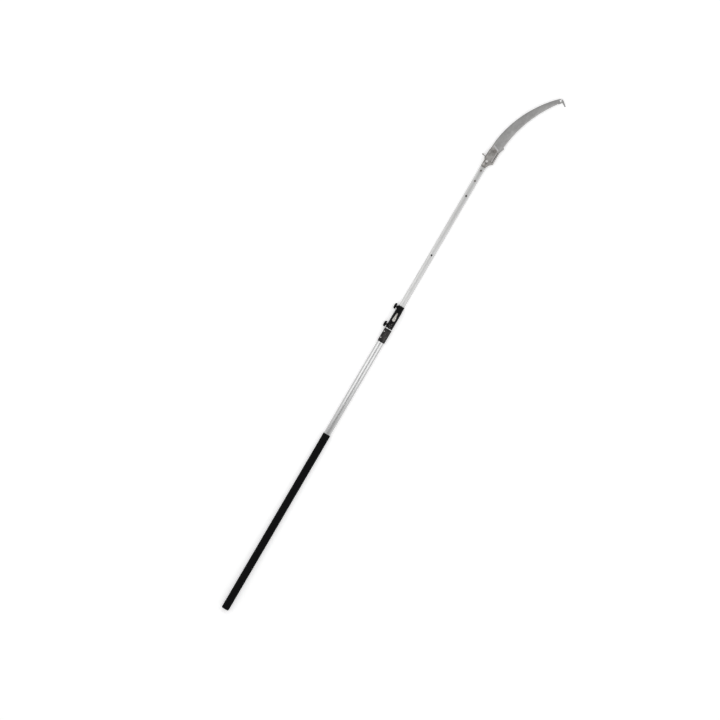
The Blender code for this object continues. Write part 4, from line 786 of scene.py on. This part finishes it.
blade_steel = ground_steel("blade_steel")
blade = softened("blade", BLADE_ROUND, steps=BLADE_ROUND_STEPS)
mouth = skin([[(x, y, z) for x, y in MOUTH] for z in (-MOUTH_HALF, MOUTH_HALF)])
place_piece("blade_ground", bored(blade, mouth), "saw_head", "blade_steel", [blade_steel], "blade")


# Fasteners. Two dark bolts clamp the tube to the casting's tang. A bright one and a larger dark one hold the
# blade. Each has a domed head, a hex socket and a nut on the far side.

TUBE_BOLT = (2.5, 4.3, 2.2, 4.6)          # radius, head's radius and height, nut's radius at its corners
REAR_BOLT = (3.0, 5.6, 3.2, 5.8)
FRONT_BOLT = (4.0, 7.6, 4.0, 7.5)
BOLT_TIP = 0.5
HEAD_EDGE = 0.2
HEAD_SIDE = 0.4                           # the upright side's share of the head's height
CROWN = 0.62                              # the flat crown's share of the head's radius, and the socket's
HEAD_SOCKET = 0.5
SOCKET_BEVEL = (0.25, 0.2)                # width and depth
SOCKET_SHARES = (0.6, 0.75)               # of the head's height, to the socket's floor and the drill's point
DRILL_POINT = 0.4
THREAD_FIT = 0.3
NUT_EDGE = 0.1                            # share of a nut's radius that is turned off its corners
NUT_CHAMFER = 0.4


def socket_bolt(radius, head, head_height, under, low):
    """A bolt from its threaded end up: shank, domed head and hex socket."""
    top = under + head_height
    flat, socket = head * CROWN, head * HEAD_SOCKET
    rings = [ring(low, radius - BOLT_TIP), ring(low + BOLT_TIP, radius), ring(under, radius)]
    rings += [ring(under, head - HEAD_EDGE), ring(under + HEAD_EDGE, head)]
    for step in range(DOME_STEPS + 1):
        angle = TURN / 4 * step / DOME_STEPS
        rise = head_height * (HEAD_SIDE + (1 - HEAD_SIDE) * math.sin(angle))
        rings.append(ring(under + rise, flat + (head - flat) * math.cos(angle)))
    rings += [ring(top, socket + SOCKET_BEVEL[0]), ring(top - SOCKET_BEVEL[1], socket, corners=HEX)]
    rings.append(ring(top - head_height * SOCKET_SHARES[0], socket, corners=HEX))
    rings.append(ring(top - head_height * SOCKET_SHARES[1], DRILL_POINT))
    return skin(rings)


def hex_nut(radius, hole, low, high):
    """A hex nut with its corners turned off at both ends, round its threaded hole."""
    edge = radius * NUT_EDGE
    rings = [ring(low, hole + NUT_CHAMFER), ring(low, radius - edge)]
    rings += [ring(low + edge, radius, corners=HEX), ring(high - edge, radius, corners=HEX)]
    rings += [ring(high, radius - edge), ring(high, hole + NUT_CHAMFER)]
    rings += [ring(high - NUT_CHAMFER, hole), ring(low + NUT_CHAMFER, hole)]
    return skin(rings, hollow=True)


satin_steel = turned_metal("satin_steel", (0.60, 0.59, 0.58), (0.82, 0.81, 0.80), roughness=0.44)
weathered_steel = turned_metal("weathered_steel", (0.18, 0.166, 0.157), (0.34, 0.32, 0.304), roughness=0.45)
fasteners = (("tube_bolt_rear", "tube_nut_rear", TUBE_BOLT, "dark_steel", dark_steel),
             ("tube_bolt_front", "tube_nut_front", TUBE_BOLT, "dark_steel", dark_steel),
             ("blade_bolt_rear", "blade_nut_rear", REAR_BOLT, "bright_steel", satin_steel),
             ("blade_bolt_front", "blade_nut_front", FRONT_BOLT, "dark_steel", weathered_steel))
for bolt, nut, (radius, head, head_height, across), slot, finish in fasteners:
    low, high = ((corner - POLE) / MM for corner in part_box(bolt))
    spot = Vector(((low.x + high.x) / 2, (low.y + high.y) / 2, 0))
    shape = socket_bolt(radius, head, head_height, high.z - head_height, low.z)
    place_piece(bolt + "_turned", aimed(shape, spot, (0, 0, 1)), "saw_head", slot, [finish], bolt)
    low, high = ((corner - POLE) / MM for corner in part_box(nut))
    shape = hex_nut(across, radius + THREAD_FIT, low.z, high.z)
    place_piece(nut + "_turned", aimed(shape, spot, (0, 0, 1)), "saw_head", slot, [finish], nut)


# Scabbard stud. A dull steel stud screwed into the cheek's back edge, whose head catches a scabbard's strap.
# It is turned from bar: a thin threaded end in the casting, a thicker shank and a chamfered head.

STUD_REACH = 48.4
STUD_BACK = 17.2
STUD_DROP = 4.4
STUD_LEAN = math.radians(14)
STUD_SHANK = ((-6.0, 1.8), (-5.7, 2.1), (0.3, 2.1), (0.8, 2.8), (11.0, 2.8), (11.5, 3.1))   # height, radius
STUD_HEAD = ((11.5, 3.3), (11.8, 3.6), (13.3, 4.2), (13.6, 4.2), (15.4, 4.2), (15.9, 4.1), (17.1, 3.2),
             (17.4, 2.8), (17.5, 2.4))

dull_steel = turned_metal("dull_steel", (0.40, 0.39, 0.38), (0.56, 0.55, 0.54), roughness=0.5)
stud = skin([ring(height, radius) for height, radius in STUD_SHANK + STUD_HEAD])
stud_spot = (head_start + STUD_REACH, STUD_BACK, -STUD_DROP)
lean = (math.sin(STUD_LEAN), math.cos(STUD_LEAN), 0)
place_piece("scabbard_stud_turned", aimed(stud, stud_spot, lean), "saw_head", "bright_steel", [dull_steel],
            "scabbard_stud")


# Studio. A lit white table in a pale tent that is darker overhead, with a broad soft light on each side above
# the lock and the camera between them, looking straight down.

FLOOR_HALF = 80.0
TABLE_GLOW = 0.28
SKY_HIGH = 0.47
SKY_LOW = 1.15
SKY_POWER = 0.7
SENSOR = 36.0
CAMERA_HEIGHT = 12.0
VIEW_WIDTH = 3.24
VIEW_REACH = 400.0
VIEW_MIDDLE = Vector((1274.2, 40.1, 0.0))
VIEW_TURN = math.radians(-59.70)

floor_mesh = bpy.data.meshes.new("floor")
floor_corners = [(x * FLOOR_HALF, y * FLOOR_HALF, 0) for x, y in ((-1, -1), (1, -1), (1, 1), (-1, 1))]
floor_mesh.from_pydata(floor_corners, [], [(0, 1, 2, 3)])
floor = bpy.data.objects.new("floor", floor_mesh)
bpy.context.scene.collection.objects.link(floor)
table_acrylic, shader, place = begin_finish("table_acrylic", roughness=0.9, metallic=0.0, specular=0.1)
cloud = place.grain((0.002, 0.002, 0.002), 2.0)
wire_up(shader, base_color=cloud.colours((0.93, 0.93, 0.93), (0.95, 0.95, 0.95)))
shader.inputs["Emission Color"].default_value = (1, 1, 1, 1)
shader.inputs["Emission Strength"].default_value = TABLE_GLOW
floor_mesh.materials.append(table_acrylic)

world = bpy.data.worlds.new("studio")
world.use_nodes = True
bpy.context.scene.world = world
direction = Wire(world.node_tree).node("TexCoord", {}, {}, "Generated")
lowness = direction.maths("POWER", 1 - direction.axis("Z"), SKY_POWER)
tent = lowness.colours((SKY_HIGH,) * 3, (SKY_LOW,) * 3)
world.node_tree.links.new(tent.socket, world.node_tree.nodes["Background"].inputs["Color"])


def soft_light(name, spot, aim, size, power):
    """A broad lamp at its spot in metres, turned to its aim and unseen by the camera."""
    lamp = bpy.data.lights.new(name, "AREA")
    lamp.shape = "RECTANGLE"
    lamp.size, lamp.size_y = size
    lamp.energy = power
    light = bpy.data.objects.new(name, lamp)
    light.location = spot
    light.rotation_euler = (Vector(aim) - Vector(spot)).to_track_quat("-Z", "Y").to_euler()
    light.visible_camera = False
    bpy.context.scene.collection.objects.link(light)


soft_light("back_softbox", spot=(0.20, 1.01, 1.77), aim=(0.20, 0.07, 0), size=(0.81, 1.54), power=5.6)
soft_light("front_softbox", spot=(0.255, -0.87, 1.77), aim=(0.255, 0.07, 0), size=(0.62, 1.54), power=4.2)

camera = bpy.data.objects.new("camera", bpy.data.cameras.new("camera"))
camera.data.sensor_width = SENSOR
camera.data.lens = SENSOR * CAMERA_HEIGHT / VIEW_WIDTH
camera.data.clip_end = VIEW_REACH
camera.location = POLE + VIEW_MIDDLE * MM + Vector((0, 0, CAMERA_HEIGHT))
camera.rotation_euler = (0, 0, VIEW_TURN)
bpy.context.scene.collection.objects.link(camera)
bpy.context.scene.camera = camera
bpy.context.scene.view_settings.view_transform = "Standard"

bpy.context.view_layer.update()
